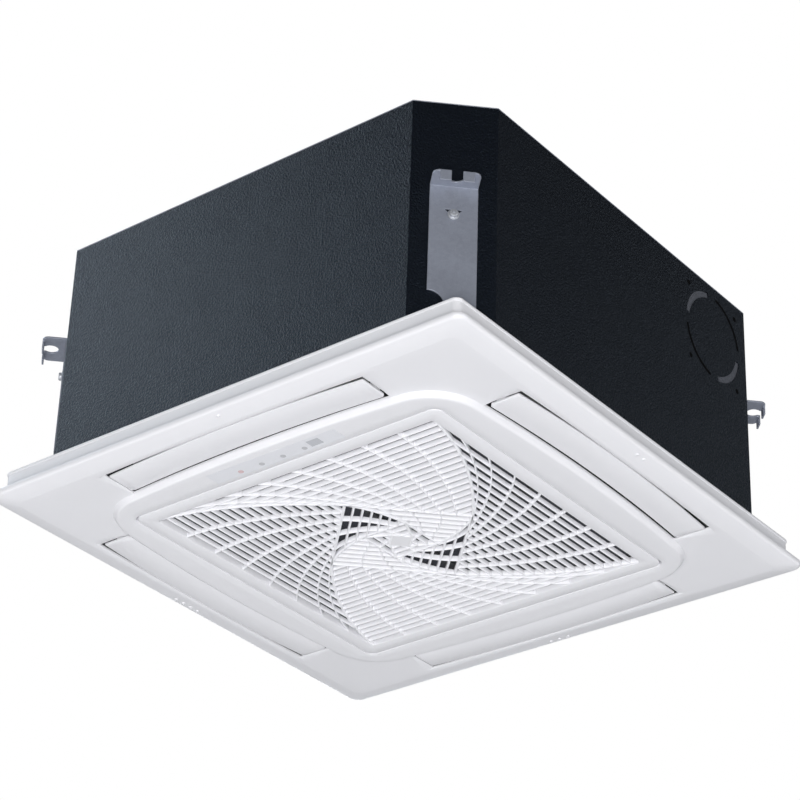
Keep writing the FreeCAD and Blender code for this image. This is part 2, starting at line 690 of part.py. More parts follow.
# Drain pan with outlets open towards the side insulation, gutter, sump and room for the control box
control_x = CONTROL_LENGTH / 2
control_y0 = control_y - CONTROL_WIDTH / 2
control_y1 = control_y + CONTROL_WIDTH / 2
pan = inset_octagon(SHEET + LINER + GAP, pan_bottom, pan_top)
pan = pan.cut(post(pan_hole_r, 0, 0, pan_bottom, pan_top))
gutter = square_block(coil_outer + PAN_GUTTER, coil_corner_outer + PAN_GUTTER, coil_bottom, pan_top)
gutter = gutter.cut(square_block(coil_inner - PAN_GUTTER, COIL_CORNER - PAN_GUTTER, coil_bottom, pan_top))
pan = pan.cut(gutter)
for slot in all_sides(box(-outlet_half, outlet_half, -case_half, -duct_inner, pan_bottom, pan_top)):
    pan = pan.cut(slot)
sump_half = SUMP_SIDE / 2
pan = pan.cut(box(PUMP_X - sump_half, PUMP_X + sump_half, pump_y - sump_half, pump_y + sump_half,
                  sump_floor_z, pan_top))
control_room = control_x + CONTROL_GAP
pan = pan.cut(box(-control_room, control_room, control_y0 - CONTROL_GAP, control_y1 + CONTROL_GAP,
                  pan_bottom, BELL_BOTTOM_Z))
panel_screw_at = opening_half - PANEL_SCREW_IN
panel_screw_spots = [(x * panel_screw_at, y * panel_screw_at) for x in (-1, 1) for y in (-1, 1)]
screw_end = LEDGE_UP + PANEL_SCREW_LENGTH
for x, y in panel_screw_spots:
    pan = pan.cut(post(PANEL_SCREW_R + FIT, x, y, pan_bottom - PAST, screw_end + PAST))
bell_seat_r = pan_hole_r + BELL_FLANGE
pan = pan.cut(post(bell_seat_r + GAP, 0, 0, BELL_BOTTOM_Z, pan_top).common(
    square_block(coil_inner - PAN_GUTTER, COIL_CORNER - PAN_GUTTER, BELL_BOTTOM_Z, pan_top)))
add("drain_pan", pan)

# Bell mouth: flange on the pan, rising and narrowing to the throat
bell_half_sheet = BELL_SHEET / 2
bell = revolve([
    (pan_hole_r - GAP, BELL_BOTTOM_Z),
    (pan_hole_r - GAP, BELL_BOTTOM_Z + BELL_SHEET),
    (BELL_THROAT_R + BELL_LIP_OUT, BELL_BOTTOM_Z + BELL_LIP_UP),
    (BELL_THROAT_R + BELL_NECK_OUT, BELL_BOTTOM_Z + BELL_NECK_UP),
    (BELL_THROAT_R + BELL_SHEET, BELL_BOTTOM_Z + BELL_THROAT_UP),
    (BELL_THROAT_R + BELL_SHEET, BELL_TOP_Z),
    (BELL_THROAT_R, BELL_TOP_Z),
    (BELL_THROAT_R, BELL_BOTTOM_Z + BELL_THROAT_UP - bell_half_sheet),
    (BELL_THROAT_R + BELL_NECK_OUT - BELL_SHEET, BELL_BOTTOM_Z + BELL_NECK_UP - bell_half_sheet),
    (BELL_THROAT_R + BELL_LIP_OUT - bell_half_sheet, BELL_BOTTOM_Z + BELL_LIP_UP - BELL_SHEET)])
bell_flange = post(bell_seat_r, 0, 0, BELL_BOTTOM_Z, BELL_BOTTOM_Z + BELL_SHEET)
bell_flange = bell_flange.cut(post(pan_hole_r - 2 * BELL_SHEET, 0, 0, BELL_BOTTOM_Z - PAST, pan_top))
inner_limit = square_block(coil_inner - PAN_GUTTER - GAP, COIL_CORNER - PAN_GUTTER, BELL_BOTTOM_Z, pan_top)
add("bell_mouth", joined([bell, bell_flange.common(inner_limit)]))


# Turbo fan, its shaft and nut, and the motor that hangs from the top plate
def fan_blade():
    """Backward-swept blade between the shroud and the back plate."""
    sweep = math.radians(FAN_BLADE_SWEEP)
    outer_r = FAN_R - FAN_WALL
    middle_r = (FAN_BLADE_INNER_R + outer_r) / 2

    def line(offset):
        first = Vector(FAN_BLADE_INNER_R * math.cos(offset), FAN_BLADE_INNER_R * math.sin(offset), 0)
        bend = offset - sweep * FAN_BLADE_BEND
        middle = Vector(middle_r * math.cos(bend), middle_r * math.sin(bend), 0)
        last = Vector(outer_r * math.cos(offset - sweep), outer_r * math.sin(offset - sweep), 0)
        return first, middle, last

    a, b, c = line(0)
    d, e, f = line(FAN_WALL / FAN_BLADE_INNER_R)
    edges = [Part.Arc(a, b, c).toShape(), Part.LineSegment(c, f).toShape()]
    edges += [Part.Arc(f, e, d).toShape(), Part.LineSegment(d, a).toShape()]
    blade = Part.Face(Part.Wire(edges)).extrude(Vector(0, 0, FAN_TOP_Z - FAN_BOTTOM_Z - FAN_WALL))
    return moved(blade, 0, 0, FAN_BOTTOM_Z)


neck_top = FAN_BOTTOM_Z + FAN_NECK
shroud_top = neck_top + (FAN_R - FAN_INLET_R) * FAN_SHROUD_SLOPE
shroud = revolve([
    (FAN_INLET_R, FAN_BOTTOM_Z), (FAN_INLET_R + FAN_WALL, FAN_BOTTOM_Z),
    (FAN_INLET_R + FAN_WALL, neck_top), (FAN_R, shroud_top),
    (FAN_R, shroud_top + FAN_WALL), (FAN_INLET_R, neck_top + FAN_WALL)])
blade_bottom = BELL_TOP_Z + FAN_BLADE_CLEAR
below_shroud = revolve([
    (0, 0), (FAN_R + PAST, 0), (FAN_R + PAST, shroud_top), (FAN_R, shroud_top),
    (FAN_INLET_R + FAN_WALL, neck_top), (FAN_INLET_R, blade_bottom), (0, blade_bottom)])
hub_bottom = FAN_TOP_Z - FAN_HUB_HEIGHT
back_plate = post(FAN_R, 0, 0, FAN_TOP_Z - FAN_WALL, FAN_TOP_Z)
fan_hub = post(FAN_HUB_R, 0, 0, hub_bottom, FAN_TOP_Z)
blades = [turned(fan_blade().cut(below_shroud), 360 * i / FAN_BLADES) for i in range(FAN_BLADES)]
fan = joined([back_plate, fan_hub, shroud] + blades)
fan = fan.cut(post(SHAFT_R, 0, 0, hub_bottom - PAST, FAN_TOP_Z + PAST))
add("turbo_fan", fan)
nut_bottom = hub_bottom - FAN_NUT_HEIGHT
shaft_top = motor_bottom + MOTOR_HEIGHT / 2
add("motor_shaft", post(SHAFT_R, 0, 0, nut_bottom - SHAFT_PAST_NUT, shaft_top))
fan_nut = hexagon(FAN_NUT, nut_bottom, hub_bottom)
add("fan_nut", fan_nut.cut(post(SHAFT_R, 0, 0, nut_bottom - PAST, hub_bottom + PAST)))
flange_top = flange_z + MOTOR_FLANGE
motor_flange = post(MOTOR_FLANGE_R, 0, 0, flange_z, flange_top)
motor = joined([post(MOTOR_R, 0, 0, motor_bottom, flange_top), motor_flange])
motor = motor.cut(post(SHAFT_R + FIT, 0, 0, motor_bottom - PAST, shaft_top + GAP))
for x, y in motor_spots:
    motor = motor.cut(post(MOTOR_BOLT_R + FIT, x, y, flange_z - PAST, flange_top + PAST))
add("fan_motor", motor)
rubbers = []
bolts = []
for x, y in motor_spots:
    rubber = post(RUBBER_R, x, y, flange_top, case_top)
    rubbers.append(rubber.cut(post(MOTOR_BOLT_R + FIT, x, y, flange_z, case_top + PAST)))
    bolt_head = moved(hexagon(MOTOR_BOLT_HEAD, flange_z - MOTOR_BOLT_HEAD_HEIGHT, flange_z), x, y, 0)
    bolts.append(joined([bolt_head, post(MOTOR_BOLT_R, x, y, flange_z, bead_top)]))
add("motor_rubber_mounts", *rubbers)
add("motor_bolts", *bolts)

# Drain pump with impeller, bracket and pipe, and the float switch
cup = post(PUMP_CUP_R, PUMP_X, pump_y, cup_z, pump_motor_z)
cup = cup.cut(post(PUMP_CUP_R - PUMP_CUP_WALL, PUMP_X, pump_y, cup_z - PAST, pump_motor_z - PUMP_CUP_WALL))
pump_body = post(PUMP_R, PUMP_X, pump_y, pump_motor_z, pump_top)
impeller_z = cup_z + IMPELLER_UP
spindle_r = IMPELLER_R / 4
spindle_top = pump_motor_z + PUMP_MOTOR_HEIGHT / 3
pump = joined([cup, pump_body]).cut(post(spindle_r + FIT, PUMP_X, pump_y, cup_z, spindle_top + GAP))
add("drain_pump", pump)
half_vane = IMPELLER_VANE / 2
vane = box(-IMPELLER_R, IMPELLER_R, -half_vane, half_vane, impeller_z, impeller_z + IMPELLER_HEIGHT)
impeller = joined([vane, turned(vane, 90), post(spindle_r, 0, 0, impeller_z, spindle_top)])
add("pump_impeller", moved(impeller, PUMP_X, pump_y, 0))
bracket_y1 = pump_y + PUMP_R
bracket_y0 = bracket_y1 - PUMP_BRACKET
bracket_x0 = PUMP_X - PUMP_R / 2
bracket_x1 = PUMP_X + PUMP_R / 2
bracket_web = box(bracket_x0, bracket_x1, bracket_y0, bracket_y1, pump_top, foam_bottom)
bracket_foot = box(bracket_x0, bracket_x1, bracket_y1 - PUMP_BRACKET_FOOT, bracket_y1,
                   pump_top, pump_top + PUMP_BRACKET)
pump_bracket = joined([bracket_web, bracket_foot])
add("pump_bracket", pump_bracket)
drain_x = PUMP_X - DRAIN_SHIFT
drain_pipe, drain_bar = tube(
    [(drain_x, pump_y, pump_top), (drain_x, pump_y, DRAIN_Z), (-case_half - DRAIN_OUT, pump_y, DRAIN_Z)],
    DRAIN_BEND_R, DRAIN_R, DRAIN_WALL)
drain_collar = rod(DRAIN_COLLAR_R, (-case_half, pump_y, DRAIN_Z),
                   (-case_half - DRAIN_COLLAR, pump_y, DRAIN_Z))
drain_pipe = joined([drain_pipe, drain_collar.cut(drain_bar)])
add("drain_pipe", drain_pipe)
float_x = PUMP_X + FLOAT_X
float_y = pump_y + FLOAT_Y
float_z = sump_floor_z + FLOAT_UP
stem_top = float_z + FLOAT_STEM
stem = post(FLOAT_STEM_R, float_x, float_y, float_z - FLOAT_STOP, stem_top)
stop = post(FLOAT_STEM_R + FLOAT_STOP_OUT, float_x, float_y, float_z - FLOAT_STOP, float_z - GAP)
arm = box(PUMP_X, float_x, float_y - FLOAT_ARM / 2, float_y + FLOAT_ARM / 2, stem_top - FLOAT_ARM, stem_top)
arm = arm.cut(post(PUMP_R, PUMP_X, pump_y, pump_motor_z - PAST, pump_top + PAST))
add("float_switch", joined([stem, stop, arm]))
float_ring = post(FLOAT_R, float_x, float_y, float_z, float_z + FLOAT_HEIGHT)
add("float", float_ring.cut(post(FLOAT_STEM_R + GAP, float_x, float_y, float_z - PAST, stem_top)))

# Control box under the bell mouth, with its lid, circuit board and terminal block
control_box = box(-control_x, control_x, control_y0, control_y1, control_bottom, BELL_BOTTOM_Z)
inner_x = control_x - CONTROL_WALL
inner_y0 = control_y0 + CONTROL_WALL
inner_y1 = control_y1 - CONTROL_WALL
control_roof = BELL_BOTTOM_Z - CONTROL_WALL
control_space = box(-inner_x, inner_x, inner_y0, inner_y1, control_bottom - PAST, control_roof)
control_box = control_box.cut(control_space)
add("control_box", control_box)
lid = box(-control_x, control_x, control_y0, control_y1, control_bottom - CONTROL_WALL, control_bottom)
add("control_box_lid", lid)
terminal_x0 = inner_x - TERMINAL_LENGTH
board_top = control_roof - BOARD_FOOT
board_low = board_top - BOARD
board_x0 = -inner_x + BOARD_GAP
board_x1 = terminal_x0 - TERMINAL_GAP
board_y0 = inner_y0 + BOARD_GAP
board_y1 = inner_y1 - BOARD_GAP


def on_board(start, length, y0, width, height):
    """Block on the underside of the circuit board."""
    x0 = board_x0 + start
    return box(x0, x0 + length, y0, y0 + width, board_low - height, board_low)


board_parts = [box(board_x0, board_x1, board_y0, board_y1, board_low, board_top)]
for x in (board_x0 + BOARD_FOOT_IN, board_x1 - BOARD_FOOT_IN):
    for y in (board_y0 + BOARD_FOOT_IN, board_y1 - BOARD_FOOT_IN):
        board_parts.append(post(BOARD_FOOT_R, x, y, board_top, control_roof))
capacitor_low = board_low - CAPACITOR_HEIGHT
board_parts.append(post(CAPACITOR_R, board_x0 + CAPACITOR_X, control_y, capacitor_low, board_low))
board_parts.append(on_board(TRANSFORMER_X, TRANSFORMER_LENGTH, control_y - TRANSFORMER_WIDTH / 2,
                            TRANSFORMER_WIDTH, TRANSFORMER_HEIGHT))
board_parts.append(on_board(RELAY_X, RELAY_LENGTH, board_y0 + BOARD_FOOT_IN, RELAY_WIDTH, RELAY_HEIGHT))
add("control_board", joined(board_parts))
terminal_low = control_roof - TERMINAL_HEIGHT
terminal = box(terminal_x0, inner_x, inner_y1 - TERMINAL_WIDTH, inner_y1, terminal_low, control_roof)
well_y = inner_y1 - TERMINAL_WIDTH / 2
for index in range(TERMINAL_POLES):
    well_x = terminal_x0 + TERMINAL_LENGTH * (index + 0.5) / TERMINAL_POLES
    well = post(TERMINAL_WELL_R, well_x, well_y, terminal_low - PAST, terminal_low + TERMINAL_WELL)
    terminal = terminal.cut(well)
add("terminal_block", terminal)


# Panel frame: sloping border, rim, skirt, raised centre and the seat of the grille, and the outlet ducts
def frustum(half_low, half_high, corner_low, corner_high, z0, z1, bow=0.0):
    """Solid between two rounded squares of different size."""
    wires = [square_wire(half_low, corner_low, z0, bow), square_wire(half_high, corner_high, z1, bow)]
    return Part.makeLoft(wires, True, True)


slope_half = SLOPE_SIDE / 2
panel_half = PANEL_SIDE / 2
skirt_half = SKIRT_SIDE / 2
island_top_half = outlet_inner
island_half = outlet_inner - ISLAND_SLOPE
panel = joined([
    frustum(slope_half, panel_half, PANEL_CORNER, PANEL_CORNER, face_z, 0),
    square_block(panel_half, PANEL_CORNER, 0, RIM),
    square_block(skirt_half, SKIRT_CORNER, 0, SKIRT_TOP),
    frustum(island_half, island_top_half, ISLAND_CORNER, ISLAND_CORNER, island_z, face_z, BOW)])
panel = panel.cut(square_block(skirt_half - WALL, SKIRT_CORNER - WALL, WALL, SKIRT_TOP))
panel = panel.cut(square_block(slope_half - WALL, PANEL_CORNER - WALL, face_inner_z, WALL))
panel = panel.cut(square_block(island_half - WALL, ISLAND_CORNER - WALL, island_inner_z, face_inner_z, BOW))
collar = square_block(opening_half + WALL, opening_corner + WALL, island_z, ledge_top)
collar = collar.cut(square_block(opening_half, opening_corner, island_z, LEDGE_UP))
ledge_half = opening_half - LEDGE_IN
ledge_hole = square_block(ledge_half, GRILLE_CORNER, LEDGE_UP, ledge_top)
for x, y in panel_screw_spots:
    ledge_hole = ledge_hole.cut(post(PANEL_SCREW_IN - LEDGE_IN + PANEL_GUSSET, x, y, LEDGE_UP, ledge_top))
collar = collar.cut(ledge_hole)
duct = strip_block(outlet_half + WALL, duct_inner - WALL, outlet_outer + WALL, face_inner_z, duct_top)
duct_way = strip_block(outlet_half, duct_inner, outlet_outer, face_inner_z, duct_top)
outlet = strip_block(outlet_half, outlet_inner, outlet_outer, island_z - PAST, duct_top)
bosses = [post(PANEL_SCREW_R + PANEL_BOSS, x, y, ledge_top, pan_bottom) for x, y in panel_screw_spots]
panel = panel.cut(square_block(opening_half, opening_corner, island_z - PAST, face_inner_z))
panel = joined([panel, collar] + bosses)
for cutter in all_sides(outlet):
    panel = panel.cut(cutter)
pin_end = outlet_half + WALL + PAST
pin_way = rod(FLAP_PIN_R + FIT, (-pin_end, flap_axis_y, flap_axis_z), (pin_end, flap_axis_y, flap_axis_z))
for x, y in panel_screw_spots:
    panel = panel.cut(post(PANEL_SCREW_R + FIT, x, y, LEDGE_UP - PAST, pan_bottom + PAST))
hinge_end = opening_half + WALL
for sign in (-1, 1):
    panel = panel.cut(rod(HINGE_PIN_R, (sign * (opening_half - PAST), hinge_y, hinge_z),
                          (sign * (hinge_end + PAST), hinge_y, hinge_z)))
catch_y = -(opening_half - LEDGE_IN / 2)
for x in (-CATCH_X, CATCH_X):
    panel = panel.cut(post(CATCH_R + FIT, x, catch_y, LEDGE_UP - PAST, ledge_top + PAST))
display_y = -(opening_half + WALL + island_half) / 2
display_x0 = DISPLAY_X - DISPLAY_LENGTH / 2
display_x1 = DISPLAY_X + DISPLAY_LENGTH / 2
display_y0 = display_y - DISPLAY_WIDTH / 2
display_y1 = display_y + DISPLAY_WIDTH / 2
panel = panel.cut(box(display_x0 - FIT, display_x1 + FIT, display_y0 - FIT, display_y1 + FIT,
                      island_z, island_z + DISPLAY_PLATE))
lens_spots = [DISPLAY_X + LENS_FIRST + LENS_PITCH * i for i in range(4)]
receiver_x0 = DISPLAY_X + RECEIVER_X - RECEIVER_LENGTH / 2
receiver_x1 = DISPLAY_X + RECEIVER_X + RECEIVER_LENGTH / 2
receiver_y0 = display_y - RECEIVER_WIDTH / 2
receiver_y1 = display_y + RECEIVER_WIDTH / 2
lens_y = display_y + LENS_Y
display_cuts = [post(LENS_R + FIT, x, lens_y, island_z - PAST, island_inner_z) for x in lens_spots]
display_cuts.append(box(receiver_x0 - FIT, receiver_x1 + FIT, receiver_y0 - FIT, receiver_y1 + FIT,
                        island_z - PAST, island_inner_z))
for cutter in display_cuts:
    panel = panel.cut(cutter)
add("panel_frame", panel)
add("outlet_ducts", *all_sides(duct.cut(duct_way).cut(pin_way)))

gasket_half = outlet_half + WALL
gasket_outer = case_half - CASE_FLANGE - GAP
gasket = box(-gasket_half, gasket_half, -gasket_outer, -duct_inner + WALL, duct_top, pan_bottom)
gasket = gasket.cut(moved(duct_way, 0, 0, GASKET))
add("panel_gaskets", *all_sides(gasket))
screws = []
for x, y in panel_screw_spots:
    screw_head = post(PANEL_HEAD_R, x, y, LEDGE_UP - PANEL_HEAD, LEDGE_UP)
    screws.append(joined([screw_head, post(PANEL_SCREW_R, x, y, LEDGE_UP, screw_end)]))
add("panel_screws", *screws)

# Display strip, its lenses and the board behind it
display = box(display_x0, display_x1, display_y0, display_y1, island_z, island_z + DISPLAY_PLATE)
for cutter in display_cuts:
    display = display.cut(cutter)
add("display_plate", display)
add("indicator_lenses", *[post(LENS_R, x, lens_y, island_z, island_inner_z) for x in lens_spots])
add("receiver_window", box(receiver_x0, receiver_x1, receiver_y0, receiver_y1, island_z, island_inner_z))
display_back = island_inner_z + BOARD
add("display_board", box(display_x0, display_x1, display_y0, display_y1, island_inner_z, display_back))


# Flaps with their pins, and the motors that turn them
def flap_rod(radius, x0, x1):
    """Cylinder on the axis of the front flap."""
    return rod(radius, (x0, flap_axis_y, flap_axis_z), (x1, flap_axis_y, flap_axis_z))


def flap():
    """Bowed plate with an arm and a pin at each end, on the front side."""
    plate = strip_block(flap_half, flap_inner, FLAP_OUTER, face_z, face_z + FLAP_PLATE)
    solids = [plate]
    for sign in (-1, 1):
        inside = sign * (flap_half - FLAP_ARM)
        outside = sign * flap_half
        low, high = sorted((inside, outside))
        arm_half = 2 * FLAP_PIN_R
        root = box(low, high, flap_axis_y - arm_half, flap_axis_y + arm_half, face_z, flap_axis_z)
        round_end = flap_rod(arm_half, inside, outside)
        reach = outlet_half + WALL + (STEPPER_SOCKET - GAP if sign > 0 else 0)
        pin = flap_rod(FLAP_PIN_R, inside, sign * reach)
        solids += [root, round_end, pin]
    return joined(solids)


def flap_motor():
    """Small geared motor with an offset output socket, seated on the duct's end wall."""
    start = outlet_half + WALL
    centre_z = flap_axis_z + STEPPER_OFFSET
    can = rod(STEPPER_R, (start, flap_axis_y, centre_z), (start + STEPPER_LENGTH, flap_axis_y, centre_z))
    ear_y = STEPPER_R + STEPPER_EAR
    ear_z = STEPPER_EAR_WIDTH / 2
    ear = box(start, start + STEPPER_EAR_SHEET, flap_axis_y - ear_y, flap_axis_y + ear_y,
              centre_z - ear_z, centre_z + ear_z)
    socket = flap_rod(FLAP_PIN_R + FIT, start - PAST, start + STEPPER_SOCKET)
    return joined([can, ear]).cut(socket)


for index, side in enumerate(["front", "right", "back", "left"]):
    add("flap_" + side, turned(flap(), 90 * index))
    add("flap_motor_" + side, turned(flap_motor(), 90 * index))


# Intake grille: a frame round three nested whirls of slats, each turned by an eighth of a turn
def whirl_point(half, inner_r, share, depth, bulge):
    """Point of a cross rib at a depth behind the outer side; share runs from ridge to ridge."""
    full = half - inner_r * (1 - share)
    lift = 4 * bulge * (1 - share)
    if lift:
        b = full - lift
        w = (-b + math.sqrt(b * b + 4 * lift * depth)) / (2 * lift)
    else:
        w = depth / full
    across = (1 - w) * half * (2 * share - 1) + w * inner_r * share + 4 * bulge * share * w * (1 - w)
    return across, depth - half


def clipped(points, limit):
    """Part of a convex outline where x - y is at most the limit of the inner square's side."""
    kept = []
    for (x0, y0), (x1, y1) in zip(points, points[1:] + points[:1]):
        d0 = limit + y0 - x0
        d1 = limit + y1 - x1
        if d0 <= 0:
            kept.append((x0, y0))
        if d0 * d1 < 0:
            t = d0 / (d0 - d1)
            kept.append((x0 + t * (x1 - x0), y0 + t * (y1 - y0)))
    return kept


def whirl_gaps(half, inner_r, cells, bulge, turn):
    """Outlines of the air gaps of one whirl, on all four sides."""
    gaps = []
    rows = int(half // SLAT_PITCH)
    least_area = SLAT_PITCH
    for row in range(rows + 1):
        near = row * SLAT_PITCH + SLAT_WIDTH / 2
        far = min((row + 1) * SLAT_PITCH - SLAT_WIDTH / 2, half)
        if far - near < SLAT_WIDTH:
            continue
        for cell in range(cells):
            outline = []
            corners = [(cell, near, 1), (cell + 1, near, -1), (cell + 1, far, -1), (cell, far, 1)]
            for share_at, depth, side in corners:
                edge = RIDGE_WIDTH if share_at in (0, cells) else RIB_WIDTH
                x, y = whirl_point(half, inner_r, share_at / cells, depth, bulge)
                outline.append((x + side * edge / 2, y))
            if outline[1][0] - outline[0][0] < SLAT_WIDTH or outline[2][0] - outline[3][0] < SLAT_WIDTH:
                continue
            if far > half - inner_r * (1 - cell / cells) - RIDGE_WIDTH:
                outline = clipped(outline, inner_r + RIDGE_WIDTH / math.sqrt(2))
            if len(outline) < 3:
                continue
            area = 0.0
            for (x0, y0), (x1, y1) in zip(outline, outline[1:] + outline[:1]):
                area += (x0 * y1 - x1 * y0) / 2
            if area > least_area:
                gaps.append(outline)
    turned_gaps = []
    for quarter in range(4):
        angle = math.radians(90 * quarter + turn)
        c, s = math.cos(angle), math.sin(angle)
        for outline in gaps:
            turned_gaps.append([(x * c - y * s, x * s + y * c) for x, y in outline])
    return turned_gaps


all_gaps = whirl_gaps(whirl_half, WHIRL_INNER_R, WHIRL_CELLS, WHIRL_BULGE, 0)
all_gaps += whirl_gaps(WHIRL_INNER_R / math.sqrt(2), WHIRL_CORE_R, WHIRL_CELLS // 2, WHIRL_INNER_BULGE, 45)
all_gaps += whirl_gaps(WHIRL_CORE_R / math.sqrt(2), WHIRL_HUB_R, WHIRL_CELLS // 4, 0, 90)
slat_z = island_z + SLAT_SET_BACK
whirl_wires = [square_wire(whirl_half + RIDGE_WIDTH, RIDGE_WIDTH, slat_z)]
for outline in all_gaps:
    corners = [Vector(x, y, slat_z) for x, y in reversed(outline)]
    whirl_wires.append(Part.makePolygon(corners + corners[:1]))
whirl = Part.Face(whirl_wires).extrude(Vector(0, 0, SLAT_DEPTH))
grille_frame = square_block(grille_half, GRILLE_CORNER, island_z, grille_top)
grille_frame = grille_frame.cut(square_block(whirl_half, RIDGE_WIDTH, island_z, grille_top))
pin_inside = hinge_end - HINGE_PIN_LENGTH
for sign in (-1, 1):
    pin_hole = rod(HINGE_PIN_R + FIT, (sign * (grille_half + PAST), hinge_y, hinge_z),
                   (sign * (pin_inside - GAP), hinge_y, hinge_z))
    grille_frame = grille_frame.cut(pin_hole)
add("intake_grille", grille_frame.fuse(whirl))
pins = []
for sign in (-1, 1):
    pins.append(rod(HINGE_PIN_R, (sign * pin_inside, hinge_y, hinge_z),
                    (sign * hinge_end, hinge_y, hinge_z)))
add("grille_hinge_pins", *pins)

# Push catches on the front side of the grille's seat
for sign, side in ((-1, "left"), (1, "right")):
    x = sign * CATCH_X
    half = CATCH_HOUSING / 2
    housing = box(x - half, x + half, -opening_half + GAP, -ledge_half, LEDGE_UP - half, LEDGE_UP)
    housing = housing.cut(post(CATCH_R + FIT, x, catch_y, grille_top, LEDGE_UP + PAST))
    add("catch_housing_" + side, housing)
    plunger_low = grille_top + GAP
    add("catch_plunger_" + side, post(CATCH_R, x, catch_y, plunger_low, plunger_low + CATCH_LENGTH))

# Air filter lying on the back of the grille
filter_half = FILTER_SIDE / 2
filter_top = grille_top + FILTER_DEPTH
mesh_z = grille_top + FILTER_DEPTH / 2
filter_frame = square_block(filter_half, GRILLE_CORNER, grille_top, filter_top)
bar_half = FILTER_BAR / 2
cell_end = filter_half - FILTER_BAR
for turn in range(4):
    opening = box(bar_half, cell_end, bar_half, cell_end, grille_top - PAST, filter_top + PAST)
    filter_frame = filter_frame.cut(turned(opening, 90 * turn))
mesh = square_block(filter_half - bar_half, GRILLE_CORNER - bar_half, mesh_z, mesh_z + FILTER_MESH)
add("filter_frame", filter_frame.cut(mesh))
add("filter_mesh", mesh)

os.makedirs("parts", exist_ok=True)
for name, shape in pieces.items():
    shape.exportStep("parts/" + name + ".step")
    print(name, len(shape.Solids), "solids", round(shape.Volume / 1000, 2), "cm3")
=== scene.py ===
"""Fine shapes, finishes, studio and camera for a compact four-way ceiling cassette air conditioner."""
import json
import math

import bmesh
import bpy
from bpy.props import FloatProperty, FloatVectorProperty, IntProperty, PointerProperty
from mathutils import Euler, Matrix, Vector


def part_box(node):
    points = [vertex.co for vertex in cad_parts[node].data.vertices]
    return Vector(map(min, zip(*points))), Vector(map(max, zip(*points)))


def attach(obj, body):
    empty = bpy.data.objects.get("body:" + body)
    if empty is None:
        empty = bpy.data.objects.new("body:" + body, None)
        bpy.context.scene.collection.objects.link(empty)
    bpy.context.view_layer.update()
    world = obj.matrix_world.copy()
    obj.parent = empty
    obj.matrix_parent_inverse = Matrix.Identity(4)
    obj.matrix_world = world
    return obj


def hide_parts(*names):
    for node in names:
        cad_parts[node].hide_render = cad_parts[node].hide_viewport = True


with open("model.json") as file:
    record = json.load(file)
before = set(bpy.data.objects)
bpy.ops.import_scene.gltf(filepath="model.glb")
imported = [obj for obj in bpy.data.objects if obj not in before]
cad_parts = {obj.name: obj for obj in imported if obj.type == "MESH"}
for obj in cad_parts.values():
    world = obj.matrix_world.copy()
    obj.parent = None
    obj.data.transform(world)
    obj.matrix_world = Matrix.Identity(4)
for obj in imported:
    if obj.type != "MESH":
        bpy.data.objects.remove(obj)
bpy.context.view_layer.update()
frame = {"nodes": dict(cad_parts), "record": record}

bl_info = {
    "name": "Ceiling cassette",
    "version": (1, 0, 0),
    "blender": (4, 5, 0),
    "location": "3D View > Sidebar > Cassette",
    "description": "Fine shapes and finishes of a four-way ceiling cassette air conditioner",
    "category": "Add Mesh",
}

PANEL_LOW, PANEL_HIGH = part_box("panel_frame")
GRILLE_LOW, GRILLE_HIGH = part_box("intake_grille")
SCREW_LOW, SCREW_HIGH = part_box("hanger_screws")
SCREW_MIDDLE = (SCREW_LOW.z + SCREW_HIGH.z) / 2
SIDES = ("front", "right", "back", "left")
CORNERS = ("back_right", "back_left", "front_left", "front_right")

SAME_POINT = 1e-6
SAME_PLANE = math.radians(0.5)
SHARP_EDGE = math.radians(28.0)
SMOOTH_BELOW = math.radians(35.0)


def length(name, default, words):
    """Size in metres that a user may change."""
    return FloatProperty(name=name, description=words, default=default, unit="LENGTH", precision=5)


def tint(name, default, words):
    """Colour that a user may change."""
    return FloatVectorProperty(name=name, description=words, default=default, size=3, subtype="COLOR")


class CassetteSheetSizes(bpy.types.PropertyGroup):
    """Roundings along the edges of the sheet metal."""
    soft: length("Softening", 0.0004, "Rounding along the casing's, the top plate's and the brackets' edges")
    cover_soft: length("Cover softening", 0.0003, "Rounding along the pipe cover's edges")
    shortest: length("Shortest", 0.008, "Edges of the casing up to this length stay sharp")


